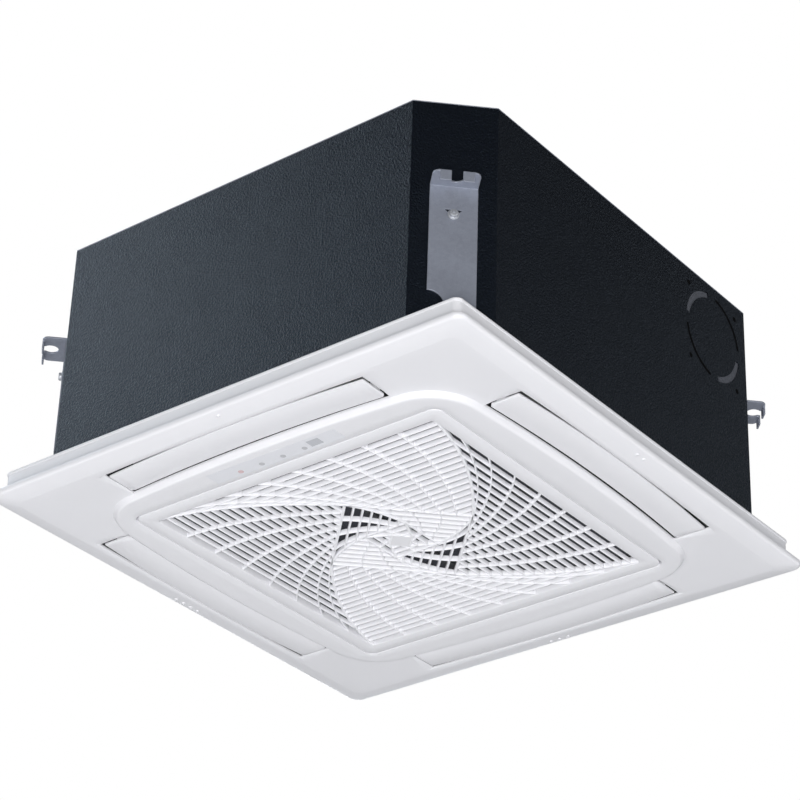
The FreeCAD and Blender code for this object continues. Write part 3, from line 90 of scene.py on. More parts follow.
class CassettePanelSizes(bpy.types.PropertyGroup):
    """Sizes of the panel, measured from the middle or from the underside of its rim."""
    rim_z: length("Rim level", PANEL_LOW.z + 0.01, "Underside of the rim in the part's frame")
    half: length("Half width", PANEL_HIGH.x, "From the middle to the rim's edge")
    rim: length("Rim", 0.006, "Thickness of the rim")
    rim_corner: length("Rim corner", 0.012, "Corner radius of the rim")
    skirt_half: length("Skirt", 0.298, "From the middle to the skirt")
    skirt_top: length("Skirt top", 0.031, "Upper edge of the skirt")
    skirt_corner: length("Skirt corner", 0.008, "Corner radius of the skirt")
    bead: length("Bead", 0.001, "How far the bead along the skirt's upper edge stands out")
    catch_x: length("Catch", 0.12, "From the middle to each of the grille's catches")
    catch_y: length("Catch line", -0.1967, "Place of the catches from front to back")
    catch_r: length("Catch hole", 0.0029, "Radius of the holes for the catches' plungers")
    field_half: length("Field", 0.288, "Where the sloping border meets the flat field")
    field_drop: length("Field drop", 0.004, "Flat field below the rim")
    island_drop: length("Centre drop", 0.0099, "Raised centre below the rim")
    island_corner: length("Centre corner", 0.06, "Corner radius of the raised centre")
    opening_half: length("Opening", 0.2014, "From the middle to the grille opening's edge")
    opening_corner: length("Opening corner", 0.0104, "Corner radius of the grille opening")
    opening_soft: length("Opening edge", 0.0009, "Rounding along the grille opening's edge")
    ledge_half: length("Ledge", 0.192, "From the middle to the ledge above the grille")
    ledge_corner: length("Ledge corner", 0.011, "Corner radius of the ledge")
    ledge_up: length("Ledge level", 0.0115, "Ledge above the rim's underside")
    outlet_half: length("Outlet length", 0.1694, "Half length of an air outlet")
    outlet_inner: length("Outlet inner edge", 0.2335, "From the middle to an outlet's inner edge")
    outlet_outer: length("Outlet outer edge", 0.2754, "From the middle to an outlet's outer edge")
    outlet_soft: length("Outlet edge", 0.0012, "Rounding along the outlets' outer edge and ends")
    bow: length("Bow", 0.007, "How far the outlets bow outwards")
    wall: length("Wall", 0.0025, "Thickness of the moulding")
    dot_r: length("Dot radius", 0.0022, "Radius of the raised dots that number the outlets")
    dot_pitch: length("Dot pitch", 0.0118, "Distance between the raised dots")
    dot_out: length("Dot distance", 0.3005, "From the middle to the row of dots")
    dot_side: length("Dot shift", 0.005, "From the middle of a side to the middle of its row of dots")


class CassetteFlapSizes(bpy.types.PropertyGroup):
    """Sizes of one air flap."""
    half: length("Half length", 0.1668, "Half length of the flap")
    corner: length("Corner", 0.0035, "Cut of the two inner corners")
    inner: length("Inner edge", 0.2378, "From the middle to the inner edge")
    width: length("Width", 0.0362, "From inner to outer edge")
    plate: length("Thickness", 0.0025, "Thickness of the plate")
    soft: length("Softening", 0.0007, "Rounding along the edges of the plate's face")
    back_soft: length("Back softening", 0.00042, "Slope along the edges of the plate's back and ends")
    axis_in: length("Axis", 0.0142, "From the inner edge to the hinge axis")
    axis_up: length("Axis height", 0.008, "From the face to the hinge axis")
    pin_r: length("Pin radius", 0.0025, "Radius of the hinge pins")
    arm: length("Arm", 0.005, "From the flap's end to the inner face of an arm")
    arm_inset: length("Arm inset", 0.0006, "From the flap's end to the outer face of an arm")
    pin_reach: length("Pin reach", 0.1715, "From the middle to the end of a pin")


class CassetteGrilleSizes(bpy.types.PropertyGroup):
    """Sizes of the intake grille and its whirl of slats."""
    half: length("Half width", GRILLE_HIGH.x, "From the middle to the grille's edge")
    corner: length("Corner", 0.011, "Corner radius of the frame")
    soft: length("Softening", 0.0009, "Rounding along the frame's outer edge")
    face_z: length("Face", GRILLE_LOW.z, "Visible face in the part's frame")
    back_z: length("Back", GRILLE_HIGH.z, "Back of the frame in the part's frame")
    whirl_half: length("Whirl", 0.182, "From the middle to the outer slats")
    whirl_corner: length("Whirl corner", 0.003, "Corner radius of the opening round the whirl")
    inner_r: length("Second square", 0.095, "Corner radius of the second, turned square")
    core_r: length("Third square", 0.04, "Corner radius of the third square")
    hub_r: length("Hub", 0.015, "Corner radius of the middle plate")
    hub_soft: length("Hub edge", 0.0006, "Slope along the middle plate's edge")
    bulge: length("Bulge", 0.015, "How far the ribs of the outer whirl swing out")
    inner_bulge: length("Inner bulge", 0.005, "How far the ribs of the second whirl swing out")
    core_bulge: length("Core bulge", 0.00001, "The same for the third whirl, next to nothing but never zero")
    cells: IntProperty(name="Cells", description="Cells between cross ribs on an outer side", default=8)
    pitch: length("Pitch", 0.01, "From slat to slat")
    slat: length("Slat", 0.0022, "Width of a slat")
    rib: length("Rib", 0.0016, "Width of a cross rib")
    ridge: length("Ridge", 0.003, "Width of a ridge between two sectors")
    depth: length("Depth", 0.0061, "Depth of slats and ribs at the front and back")
    side_depth: length("Side depth", 0.0051, "Depth of slats and ribs at the left and right")
    set_back: length("Set back", 0.001, "Slats behind the frame's face")


class CassetteScrewSizes(bpy.types.PropertyGroup):
    """Sizes of the screws that hold the hanger brackets."""
    level: length("Level", SCREW_MIDDLE, "Height of the screws in the part's frame")
    seat: length("Seat", 0.3733, "From the middle to the bracket's face")
    washer: length("Washer", 0.001, "Thickness of the washer")
    washer_r: length("Washer radius", 0.0059, "Radius of the washer")
    head: length("Head", 0.0034, "Height of the head on the washer")
    head_r: length("Head radius", 0.0044, "Radius of the head")
    soft: length("Softening", 0.00035, "Slope along the washer's and the head's edges")
    shank: length("Shank", 0.009, "Length of the shank from the washer's face")
    shank_r: length("Shank radius", 0.0025, "Radius of the shank")
    recess: length("Recess", 0.003, "Depth of the driver's recess")
    recess_r: length("Recess radius", 0.0019, "Radius of the driver's recess")


# Painted shade: the knock-out's narrow slits and holes are covered with near-black strips that stand for the
# shade inside the wall.
class CassetteShadeStripSizes(bpy.types.PropertyGroup):
    """Sizes of the near-black strips of painted shade over the narrow slits and the holes of the knock-out in
    the right wall.
    """
    middle_y: length("Middle", 0.165, "Middle of the knock-out along the wall")
    middle_z: length("Level", PANEL_LOW.z + 0.236, "Middle of the knock-out in the part's frame")
    radius: length("Radius", 0.0536, "Outer radius of the arcs")
    width: length("Width", 0.0037, "Width of the arcs")
    half_angle: FloatProperty(
        name="Half angle", description="Half the angle of an arc", subtype="ANGLE",
        default=math.radians(36.6))
    pitch: length("Pitch", 0.093, "Pitch of the four holes")
    hole_r: length("Hole radius", 0.0031, "Radius of the shade strip on a hole")
    inside: length("Inside", 0.29298, "From the middle to the wall")
    outside: length("Outside", 0.29318, "From the middle to the shade strips' outer face")
    soft: length("Softening", 0.0002, "Slope along the shade strips' edges")


class CassetteFinishes(bpy.types.PropertyGroup):
    """Colours of the visible finishes."""
    coat: tint("Casing", (0.0022, 0.0028, 0.005), "Powder coat of the casing")
    panel: tint("Panel", (0.82, 0.818, 0.85), "Plastic of the panel, the flaps and the grille's frame")
    slats: tint("Slats", (0.94, 0.938, 0.975), "Slats and ribs of the grille")
    zinc: tint("Brackets", (0.31, 0.333, 0.398), "Zinc-coated steel")
    filter: tint("Filter", (0.06, 0.064, 0.08), "Net of the air filter")


class CassetteStudio(bpy.types.PropertyGroup):
    """Camera, floor and even light."""
    place: FloatVectorProperty(
        name="Camera", description="Place of the camera", default=(1.5735, -1.956, -1.5224), unit="LENGTH")
    turn: FloatVectorProperty(
        name="Turn", description="Turn of the camera", subtype="EULER",
        default=tuple(math.radians(a) for a in (120.8386, -1.7505, 37.9144)))
    lens: FloatProperty(name="Lens", description="Focal length in millimetres", default=120.21)
    sensor: FloatProperty(name="Sensor", description="Width of the sensor in millimetres", default=36.0)
    floor_z: length("Floor", -3.6, "Level of the floor")
    floor_half: length("Floor size", 9.0, "From the middle to the floor's edge")
    fill: FloatProperty(name="Fill", description="Strength of the even light from below", default=0.4)
    least: FloatProperty(name="Least", description="Strength of the even light from above", default=0.04)


class Socket:
    """One output of a node. Arithmetic on it adds Math nodes to the same tree."""

    def __init__(self, graph, socket):
        self.graph = graph
        self.socket = socket

    def math(self, operation, *others):
        """Math node with this socket as its first value."""
        return self.graph.math(operation, self, *others)

    def __add__(self, other):
        return self.math("ADD", other)

    def __radd__(self, other):
        return self.math("ADD", other)

    def __sub__(self, other):
        return self.math("SUBTRACT", other)

    def __rsub__(self, other):
        return self.graph.math("SUBTRACT", other, self)

    def __mul__(self, other):
        return self.math("MULTIPLY", other)

    def __rmul__(self, other):
        return self.math("MULTIPLY", other)

    def __truediv__(self, other):
        return self.math("DIVIDE", other)

    def __rtruediv__(self, other):
        return self.graph.math("DIVIDE", other, self)

    def __gt__(self, other):
        return self.math("GREATER_THAN", other)


class Graph:
    """Node tree that nodes are added to by type, settings and sockets."""

    def __init__(self, tree):
        self.tree = tree

    def add(self, kind, settings=None, sockets=None, output=0):
        """New node; its settings come first, then the values or links of its sockets."""
        node = self.tree.nodes.new(kind)
        for key, value in (settings or {}).items():
            setattr(node, key, value)
        for key, value in (sockets or {}).items():
            for one in value if isinstance(value, list) else [value]:
                if isinstance(one, Socket):
                    self.tree.links.new(one.socket, node.inputs[key])
                else:
                    node.inputs[key].default_value = one
        return Socket(self, node.outputs[output]) if node.outputs else None

    def math(self, operation, *values):
        """Math node on numbers or sockets."""
        return self.add("ShaderNodeMath", {"operation": operation}, dict(enumerate(values)))

    def mix(self, factor, first, second):
        """Blend of two colours."""
        def solid(colour):
            return colour if isinstance(colour, Socket) else tuple(colour) + (1.0,)
        return self.add("ShaderNodeMix", {"data_type": "RGBA"},
                        {0: factor, 6: solid(first), 7: solid(second)}, 2)

    def vector(self, x=0.0, y=0.0, z=0.0):
        """Vector from three numbers or sockets."""
        return self.add("ShaderNodeCombineXYZ", None, {0: x, 1: y, 2: z})


class Finish(Graph):
    """Material under construction, with its surface shader and object coordinates."""

    def __init__(self, name):
        self.material = bpy.data.materials.new(name)
        self.material.use_nodes = True
        super().__init__(self.material.node_tree)
        self.shader = self.tree.nodes["Principled BSDF"]
        self.place = self.add("ShaderNodeTexCoord", None, None, "Object")

    def noise(self, scale, detail=2.0, place=None):
        """Cloudy value from 0 to 1."""
        return self.add("ShaderNodeTexNoise", None,
                        {"Vector": place or self.place, "Scale": scale, "Detail": detail})

    def cells(self, scale, output="Distance"):
        """Cellular pattern."""
        return self.add("ShaderNodeTexVoronoi", None, {"Vector": self.place, "Scale": scale}, output)

    def axes(self):
        """The three object coordinates."""
        node = self.add("ShaderNodeSeparateXYZ", None, {0: self.place}).socket.node
        return [Socket(self, out) for out in node.outputs]

    def feed(self, **sockets):
        """Values or links of the surface shader, named with underscores for spaces."""
        for key, value in sockets.items():
            target = self.shader.inputs[key.replace("_", " ")]
            if isinstance(value, Socket):
                self.tree.links.new(value.socket, target)
            else:
                target.default_value = value

    def relief(self, height, distance):
        """Bump from a height of 0 to 1 over a distance in metres."""
        sockets = {"Strength": 1.0, "Distance": distance, "Height": height}
        self.feed(Normal=self.add("ShaderNodeBump", None, sockets))


def shades(colour, change):
    """A darker and a lighter shade of one colour."""
    return [tuple(c * (1 - change) for c in colour), tuple(min(c * (1 + change), 1.0) for c in colour)]


def sway(value, spread):
    """Value from 0 to 1 as a change about zero."""
    return (value - 0.5) * spread


def waves(value, pitch):
    """Sine wave with a pitch in metres."""
    return (value * (2 * math.pi / pitch)).math("SINE")


def plain_finish(name, colour, rough, grain=900.0, relief=0.00003, change=0.06, metallic=0.0, level=0.5):
    """Moulded or coated surface: slow change of tone, fine grain in its gloss and relief."""
    made = Finish(name)
    cloud = made.noise(7.0, 3.0)
    fine = made.noise(grain)
    dark, light = shades(colour, change)
    made.feed(Base_Color=made.mix(cloud, dark, light), Metallic=metallic, Specular_IOR_Level=level)
    made.feed(Roughness=rough + sway(fine, 0.16) + sway(cloud, 0.08))
    made.relief(fine, relief)
    return made.material


def powder_coat(name, colour):
    """Dark fine-textured powder coat with tiny lighter specks and a cool sheen."""
    sheen = (0.6, 0.78, 1.0, 1.0)
    made = Finish(name)
    grit = made.noise(450.0)
    fine = made.noise(1300.0)
    grain = sway(grit * 0.75 + fine * 0.25, 3.2) + 0.5
    speck = grain.math("MAXIMUM", 0.0).math("MINIMUM", 1.0)
    dark, light = shades(colour, 0.8)
    made.feed(Base_Color=made.mix(speck, dark, light), Specular_IOR_Level=0.4, Specular_Tint=sheen)
    made.feed(Roughness=0.43 - sway(speck, 0.28))
    made.relief(grain, 0.0004)
    return made.material


def zinc_coat(name, colour):
    """Zinc-coated sheet steel with a faint spangle, fine grain and rolling lines."""
    across_lines = 1400.0
    along_lines = 60.0
    made = Finish(name)
    spangle = made.add("ShaderNodeSeparateColor", None, {0: made.cells(260.0, "Color")})
    cloud = made.noise(30.0, 4.0)
    grain = made.noise(700.0)
    x, y, z = made.axes()
    stretched = made.vector((x + y) * across_lines, (x - y) * along_lines, z * along_lines)
    rolled = made.noise(1.0, place=stretched)
    dark, light = shades(colour, 0.2)
    made.feed(Base_Color=made.mix(spangle * 0.2 + cloud * 0.4 + grain * 0.4, dark, light), Metallic=0.45)
    made.feed(Roughness=0.5 + sway(cloud, 0.2) + sway(rolled, 0.16))
    made.relief(grain * 0.6 + rolled * 0.4, 0.00006)
    return made.material


def foam(name, colour):
    """Moulded bead foam."""
    made = Finish(name)
    bead = made.cells(320.0)
    dark, light = shades(colour, 0.05)
    made.feed(Base_Color=made.mix(bead * 1.4, light, dark), Roughness=0.85 + sway(bead, 0.1))
    made.relief(1.0 - bead, 0.0004)
    return made.material


def fin_stack(name, colour):
    """Edges of thin upright fins, packed side by side, with painted light on the fins' edges and painted
    shade in the gaps between them.
    """
    fin_pitch = 0.0016
    made = Finish(name)
    x, y, _ = made.axes()
    # Painted light and shade: the stripes are lighter on the fins' edges and darker in the gaps between them
    edge = waves(x + y, fin_pitch) * 0.5 + 0.5
    cloud = made.noise(12.0, 3.0)
    dark, light = shades(colour, 0.35)
    made.feed(Base_Color=made.mix(edge * 0.8 + cloud * 0.2, dark, light), Metallic=0.85)
    made.feed(Roughness=0.34 + cloud * 0.12)
    made.relief(edge, 0.0003)
    return made.material


def woven_net(name, colour):
    """Fine square net of thin threads, with painted light on the threads and painted shade in the gaps
    between them.
    """
    thread_pitch = 0.0016
    made = Finish(name)
    x, y, _ = made.axes()
    thread = waves(x, thread_pitch).math("MAXIMUM", waves(y, thread_pitch))
    shown = (thread - 0.55).math("MAXIMUM", 0.0) * 2.0
    cloud = made.noise(9.0, 3.0)
    # Painted shade in the gaps and painted light on the threads: darker and lighter copies of the net's
    # colour
    gap = tuple(c * 0.35 for c in colour)
    lit = tuple(c * 1.9 for c in colour)
    made.feed(Base_Color=made.mix(shown, gap, lit), Roughness=0.8 + sway(cloud, 0.16))
    made.relief(shown, 0.0003)
    return made.material


def lenses(name, colour, first):
    """Small diffusing lenses, the first of the row tinted."""
    first_end = -0.026
    haze = (0.8, 0.8, 0.82)
    made = Finish(name)
    x = made.axes()[0]
    cloud = made.noise(240.0, 3.0)
    tinted = made.mix(x > first_end, first, colour)
    made.feed(Base_Color=made.mix(cloud * 0.2, tinted, haze), Roughness=0.2 + cloud * 0.1)
    made.relief(cloud, 0.00001)
    return made.material


def circuit_board(name, colour):
    """Green circuit board with lighter tracks."""
    turns = 900.0
    made = Finish(name)
    x, y, _ = made.axes()
    track = ((x * turns).math("SINE") * (y * turns).math("SINE")) > 0.55
    cloud = made.noise(60.0, 3.0)
    light = tuple(c * 1.9 for c in colour)
    made.feed(Base_Color=made.mix(track * 0.6 + cloud * 0.2, colour, light), Roughness=0.34 + cloud * 0.14)
    made.relief(track, 0.00005)
    return made.material


def copper(name, colour):
    """Drawn metal tube with slightly tarnished patches."""
    tarnish = (0.55, 0.5, 0.5)
    made = Finish(name)
    cloud = made.noise(38.0, 5.0)
    fine = made.noise(420.0)
    dark = tuple(c * share for c, share in zip(colour, tarnish))
    made.feed(Base_Color=made.mix(cloud * 1.3 - 0.15, dark, colour), Metallic=0.9)
    made.feed(Roughness=0.27 + cloud * 0.2 + sway(fine, 0.1))
    made.relief(fine, 0.00002)
    return made.material


def colours():
    """Colours that a user may change."""
    return bpy.context.scene.cassette_finishes


MOULDED = {"rough": 0.4, "grain": 1600.0, "relief": 0.000012, "change": 0.012, "level": 0.45}

FINISHES = {
    "charcoal_coat": lambda n: powder_coat(n, colours().coat),
    "zinc_steel": lambda n: zinc_coat(n, colours().zinc),
    "screw_zinc": lambda n: plain_finish(n, (0.52, 0.54, 0.58), rough=0.44, change=0.12, metallic=0.6),
    "white_foam": lambda n: foam(n, (0.78, 0.8, 0.81)),
    # Painted shade: the dark foam and the bluish wall foam below are real foam made dark, standing for the
    # shade inside the right wall that shows through the knock-out
    "dark_foam": lambda n: foam(n, (0.022, 0.024, 0.027)),
    "wall_foam": lambda n: foam(n, (0.075, 0.081, 0.098)),
    "fin_aluminium": lambda n: fin_stack(n, (0.62, 0.64, 0.66)),
    "copper": lambda n: copper(n, (0.62, 0.27, 0.14)),
    "nut_brass": lambda n: copper(n, (0.66, 0.47, 0.2)),
    # Painted shade: near-black, hardly glossy finish of the strips over the knock-out's slits and holes,
    # standing for the shade inside the wall
    "seal_black": lambda n: plain_finish(
        n, (0.0018, 0.0018, 0.002), rough=0.9, grain=500.0, relief=0.0001, change=0.25, level=0.08),
    "black_rubber": lambda n: plain_finish(
        n, (0.016, 0.016, 0.017), rough=0.72, grain=500.0, relief=0.0001, change=0.25),
    "fan_plastic": lambda n: plain_finish(n, (0.55, 0.57, 0.58), rough=0.5, grain=700.0, relief=0.00004),
    "motor_steel": lambda n: plain_finish(
        n, (0.13, 0.135, 0.14), rough=0.42, grain=800.0, relief=0.00004, change=0.15, metallic=0.5),
    "grey_plastic": lambda n: plain_finish(n, (0.34, 0.35, 0.36), rough=0.5, grain=800.0, relief=0.00004),
    "board_green": lambda n: circuit_board(n, (0.02, 0.12, 0.05)),
    "panel_white": lambda n: plain_finish(n, colours().panel, **MOULDED),
    "slat_white": lambda n: plain_finish(n, colours().slats, **MOULDED),
    "display_white": lambda n: plain_finish(
        n, (0.775, 0.782, 0.825), rough=0.3, grain=1600.0, relief=0.000004, change=0.01),
    "lens_clear": lambda n: lenses(n, (0.52, 0.52, 0.55), (0.66, 0.46, 0.48)),
    "receiver_grey": lambda n: plain_finish(n, (0.53, 0.542, 0.58), rough=0.2, grain=600.0, relief=0.000004),
    "filter_black": lambda n: plain_finish(
        n, (0.03, 0.031, 0.033), rough=0.6, grain=700.0, relief=0.00004, change=0.12),
    "filter_net": lambda n: woven_net(n, colours().filter),
}

# Slots of the finishes that are not slots themselves, and the one node with a finish apart from its slot: the
# insulation in the right wall, in foam darkened as painted shade
FINISH_OF = {"side_insulation": "wall_foam"}


def finish(name):
    """Material of a finish, made on first use."""
    key = "finish_" + name
    return bpy.data.materials.get(key) or FINISHES[name](key)


def keep_piece(name, mesh, body, slot, *nodes):
    """New object in the part's frame that rides on a body and stands for CAD nodes."""
    mesh.materials.clear()
    mesh.materials.append(finish(slot))
    piece = bpy.data.objects.new(name, mesh)
    bpy.context.scene.collection.objects.link(piece)
    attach(piece, body)
    if nodes:
        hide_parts(*nodes)


def closed_mesh(name, shape, flat=()):
    """Mesh with outward normals, smooth but for its sharp edges and the faces given as flat."""
    loose = [v for v in shape.verts if not v.link_faces]
    bmesh.ops.delete(shape, geom=loose, context="VERTS")
    bmesh.ops.recalc_face_normals(shape, faces=shape.faces)
    shape.faces.index_update()
    smooth = [True] * len(shape.faces)
    for face in flat:
        smooth[face.index] = False
    mesh = bpy.data.meshes.new(name)
    shape.to_mesh(mesh)
    shape.free()
    mesh.set_sharp_from_angle(angle=SMOOTH_BELOW)
    mesh.polygons.foreach_set("use_smooth", smooth)
    return mesh


def quarter(point, turns):
    """Point turned about the Z axis by quarter turns."""
    x, y, z = point
    for _ in range(turns % 4):
        x, y = -y, x
    return Vector((x, y, z))


def circle(count):
    """Cosines and sines of evenly spaced angles, once round."""
    angles = [2 * math.pi * i / count for i in range(count)]
    return [(math.cos(angle), math.sin(angle)) for angle in angles]


def rounded_edge(soft):
    """Three steps round a softened edge: in from its side, up from its face."""
    middle = soft * 0.3
    return [(0.0, soft), (middle, middle), (soft, 0.0)]


# Columns of points on each side of a square ring: along the outlet, on to the corner and round it
SIDE_STEPS = [i / 24 - 1 for i in range(49)]
RUN_STEPS = [0.08, 0.2, 0.45, 0.75]
ARC_STEPS = [i / 12 for i in range(13)]
COLUMNS = len(SIDE_STEPS) + 2 * len(RUN_STEPS) + len(ARC_STEPS)


def square_ring(half, corner, z, bow, reach):
    """Points round a square with rounded corners and bowed sides, in the same columns for every ring."""
    flat = half - corner

    def edge(x):
        return half + bow * max(0.0, 1 - (x / flat) ** 2)

    points = []
    for turn in range(4):
        side = [(u * reach, -edge(u * reach)) for u in SIDE_STEPS]
        run = [reach + (flat - reach) * t for t in RUN_STEPS]
        side += [(x, -edge(x)) for x in run]
        for t in ARC_STEPS:
            angle = t * math.pi / 2
            side.append((flat + corner * math.sin(angle), -flat - corner * math.cos(angle)))
        side += [(edge(x), -x) for x in reversed(run)]
        points += [quarter((x, y, z), turn) for x, y in side]
    return points


def band(shape, row, after, skip=lambda column: False):
    """Quads between two closed rows of points."""
    for column in range(len(row)):
        following = (column + 1) % len(row)
        if not skip(column):
            shape.faces.new((row[column], row[following], after[following], after[column]))


def ring_mesh(shape, rings, skip=lambda ring, column: False):
    """Closed band of quads through rings of points, the last joined to the first."""
    rows = [[shape.verts.new(point) for point in ring] for ring in rings]
    for k, row in enumerate(rows):
        band(shape, row, rows[(k + 1) % len(rows)], lambda column: skip(k, column))
    return rows


def loft(shape, rings):
    """Closed solid through rings of points, with flat ends."""
    rows = [[shape.verts.new(point) for point in ring] for ring in rings]
    for row, after in zip(rows, rows[1:]):
        band(shape, row, after)
    shape.faces.new(rows[0])
    shape.faces.new(list(reversed(rows[-1])))


def bore(shape, x, y, radius, levels):
    """Round hole through the flat faces at two levels."""
    rims = []
    for level in levels:
        faces = []
        for face in shape.faces:
            xs = [v.co.x for v in face.verts]
            ys = [v.co.y for v in face.verts]
            flat = all(abs(v.co.z - level) < SAME_POINT for v in face.verts)
            beside = max(xs) <= x - radius or min(xs) >= x + radius
            beyond = max(ys) <= y - radius or min(ys) >= y + radius
            if flat and not beside and not beyond:
                faces.append(face)
        edges = [e for f in faces for e in f.edges if sum(g in faces for g in e.link_faces) == 1]
        bmesh.ops.delete(shape, geom=faces, context="FACES_KEEP_BOUNDARY")
        rim = [shape.verts.new((x + radius * c, y + radius * s, level)) for c, s in circle(24)]
        edges += [shape.edges.new((rim[i - 1], rim[i])) for i in range(len(rim))]
        bmesh.ops.triangle_fill(shape, use_beauty=True, edges=edges)
        rims.append(rim)
    low, high = rims
    for i in range(len(low)):
        shape.faces.new((low[i - 1], low[i], high[i], high[i - 1]))


def sort_by_place(elements, place):
    """Put points or faces, which a bevel adds in any order, in the same order in every run.

    Names of single points or faces don't hold after this, but their tags do.
    """
    rank = {one: number for number, one in enumerate(sorted(elements, key=place))}
    elements.sort(key=lambda one: rank[one])


def softened(node, width, shortest=0.0):
    """Copy of a CAD node with small roundings along its sharp edges that are longer than the shortest."""
    shape = bmesh.new()
    shape.from_mesh(frame["nodes"][node].data)
    bmesh.ops.remove_doubles(shape, verts=shape.verts, dist=SAME_POINT)
    bmesh.ops.dissolve_limit(shape, angle_limit=SAME_PLANE, verts=shape.verts, edges=shape.edges)
    edges = [e for e in shape.edges if len(e.link_faces) == 2 and e.calc_length() > shortest]
    edges = [e for e in edges if e.calc_face_angle() > SHARP_EDGE]
    bmesh.ops.bevel(shape, geom=edges, offset=width, segments=2, profile=0.5, affect="EDGES",
                    clamp_overlap=True)
    large = 16 * width * width
    plates = [f for f in shape.faces if len(f.verts) > 4 or f.calc_area() > large]
    flat = [f for f in plates if len(f.verts) <= 4]
    flat += bmesh.ops.triangulate(shape, faces=[f for f in plates if len(f.verts) > 4])["faces"]
    flat = set(flat)
    for face in shape.faces:
        face.tag = face in flat
    sort_by_place(shape.verts, lambda v: tuple(v.co))
    sort_by_place(shape.faces, lambda f: tuple(f.calc_center_median()))
    return closed_mesh(node + "_soft", shape, [f for f in shape.faces if f.tag])


def node_tree_mesh(name, tree, values):
    """Plain mesh that a geometry node tree gives for these inputs."""
    carrier = bpy.data.objects.new(name, bpy.data.meshes.new(name))
    bpy.context.scene.collection.objects.link(carrier)
    modifier = carrier.modifiers.new(name, "NODES")
    modifier.node_group = tree
    for item in tree.interface.items_tree:
        if item.item_type == "SOCKET" and item.in_out == "INPUT" and item.name in values:
            modifier[item.identifier] = values[item.name]
    carrier.update_tag()
    bpy.context.view_layer.update()
    mesh = bpy.data.meshes.new_from_object(carrier.evaluated_get(bpy.context.evaluated_depsgraph_get()))
    carrier.modifiers.remove(modifier)
    bpy.data.objects.remove(carrier)
    return mesh


def node_tree(name, inputs):
    """Empty geometry node tree with named inputs, and those inputs as sockets."""
    tree = bpy.data.node_groups.new(name, "GeometryNodeTree")
    for key, kind in inputs.items():
        tree.interface.new_socket(key, in_out="INPUT", socket_type="NodeSocket" + kind)
    tree.interface.new_socket("Geometry", in_out="OUTPUT", socket_type="NodeSocketGeometry")
    graph = Graph(tree)
    source = tree.nodes.new("NodeGroupInput")
    return graph, {key: Socket(graph, source.outputs[key]) for key in inputs}


def end_tree(graph, geometry, material):
    """Realize everything, set its material and give it out."""
    real = graph.add("GeometryNodeRealizeInstances", None, {0: geometry})
    dressed = graph.add("GeometryNodeSetMaterial", None, {"Geometry": real, "Material": material})
    graph.add("NodeGroupOutput", None, {0: dressed})
    return graph.tree


def whirl_tree():
    """Slats, cross ribs, ridges and inner border of one whirl, on all four sides."""
    graph, given = node_tree("whirl_of_slats", {
        "Half": "Float", "Inner": "Float", "Bulge": "Float", "Rows": "Int", "Cells": "Int", "Pitch": "Float",
        "Slat": "Float", "Rib": "Float", "Ridge": "Float", "Depth": "Float", "Side Share": "Float",
        "Low": "Float", "Turn": "Float", "Material": "Material"})
    half, inner, bulge = given["Half"], given["Inner"], given["Bulge"]
    index = graph.add("GeometryNodeInputIndex")
    corner_share = 0.3
    steps = 13

    def bars(count, x, y, width, last):
        """Bars through points given by their index; edges at the last index of a bar are dropped."""
        line = graph.add("GeometryNodeMeshLine", None, {"Count": count})
        line = graph.add("GeometryNodeDeleteGeometry", {"domain": "EDGE", "mode": "EDGE_FACE"},
                         {"Geometry": line, "Selection": last})
        line = graph.add("GeometryNodeSetPosition", None,
                         {"Geometry": line, "Position": graph.vector(x, y, given["Depth"] * 0.5)})
        curve = graph.add("GeometryNodeMeshToCurve", None, {0: line})
        curve = graph.add("GeometryNodeSetCurveNormal", {"mode": "Z_UP"}, {0: curve})
        profile = graph.add("GeometryNodeCurvePrimitiveQuadrilateral", None,
                            {"Width": width, "Height": given["Depth"]})
        profile = graph.add("GeometryNodeFilletCurve", {"mode": "POLY"},
                            {"Curve": profile, "Radius": width * corner_share, "Count": 2})
        return graph.add("GeometryNodeCurveToMesh", None, {0: curve, 1: profile, "Fill Caps": True})

    row = (index / 2.0).math("FLOOR")
    far_end = index - row * 2.0
    depth = (row + 1.0) * given["Pitch"]
    y = depth - half
    lift = bulge * 4.0
    run = half - inner - lift
    share = ((run * run + lift * depth * 4.0).math("SQRT") - run) / (lift * 2.0)
    past = depth > half - inner
    left = (share - 1.0) * half * (1.0 - past) + (y + inner) * past
    part = depth / half
    right = (1.0 - part) * half + part * inner + lift * part * (1.0 - part)
    slats = bars(given["Rows"] * 2.0, left * (1.0 - far_end) + right * far_end, y, given["Slat"], far_end)

    def rib(count, first, width):
        """Curved ribs from the outer side to the inner square, numbered from the first along the side."""
        number = (index / steps).math("FLOOR")
        step = index - number * steps
        way = step / (steps - 1.0)
        across = (number + first) / given["Cells"]
        rise = lift * (1.0 - across)
        full = half - inner * (1.0 - across)
        start = half * (across * 2.0 - 1.0)
        swing = lift * across * way * (1.0 - way)
        rib_x = (1.0 - way) * start + way * inner * across + swing
        rib_y = (full - rise) * way + rise * way * way - half
        return bars(count * steps, rib_x, rib_y, width, step > steps - 1.5)

    ribs = rib(given["Cells"] - 1.0, 1.0, given["Rib"])
    ridge = rib(1, 0.0, given["Ridge"])
    border = bars(2, inner * index, inner * index - inner, given["Ridge"], index > 0.5)
    sector = graph.add("GeometryNodeJoinGeometry", None, {0: [slats, ribs, ridge, border]})
    turned = []
    for side in range(4):
        angle = given["Turn"] + side * math.pi / 2
        height = given["Side Share"] if side % 2 else 1.0
        turned.append(graph.add("GeometryNodeTransform", None, {
            "Geometry": sector, "Rotation": graph.vector(z=angle), "Scale": graph.vector(1.0, 1.0, height),
            "Translation": graph.vector(z=given["Low"])}))
    return end_tree(graph, graph.add("GeometryNodeJoinGeometry", None, {0: turned}), given["Material"])


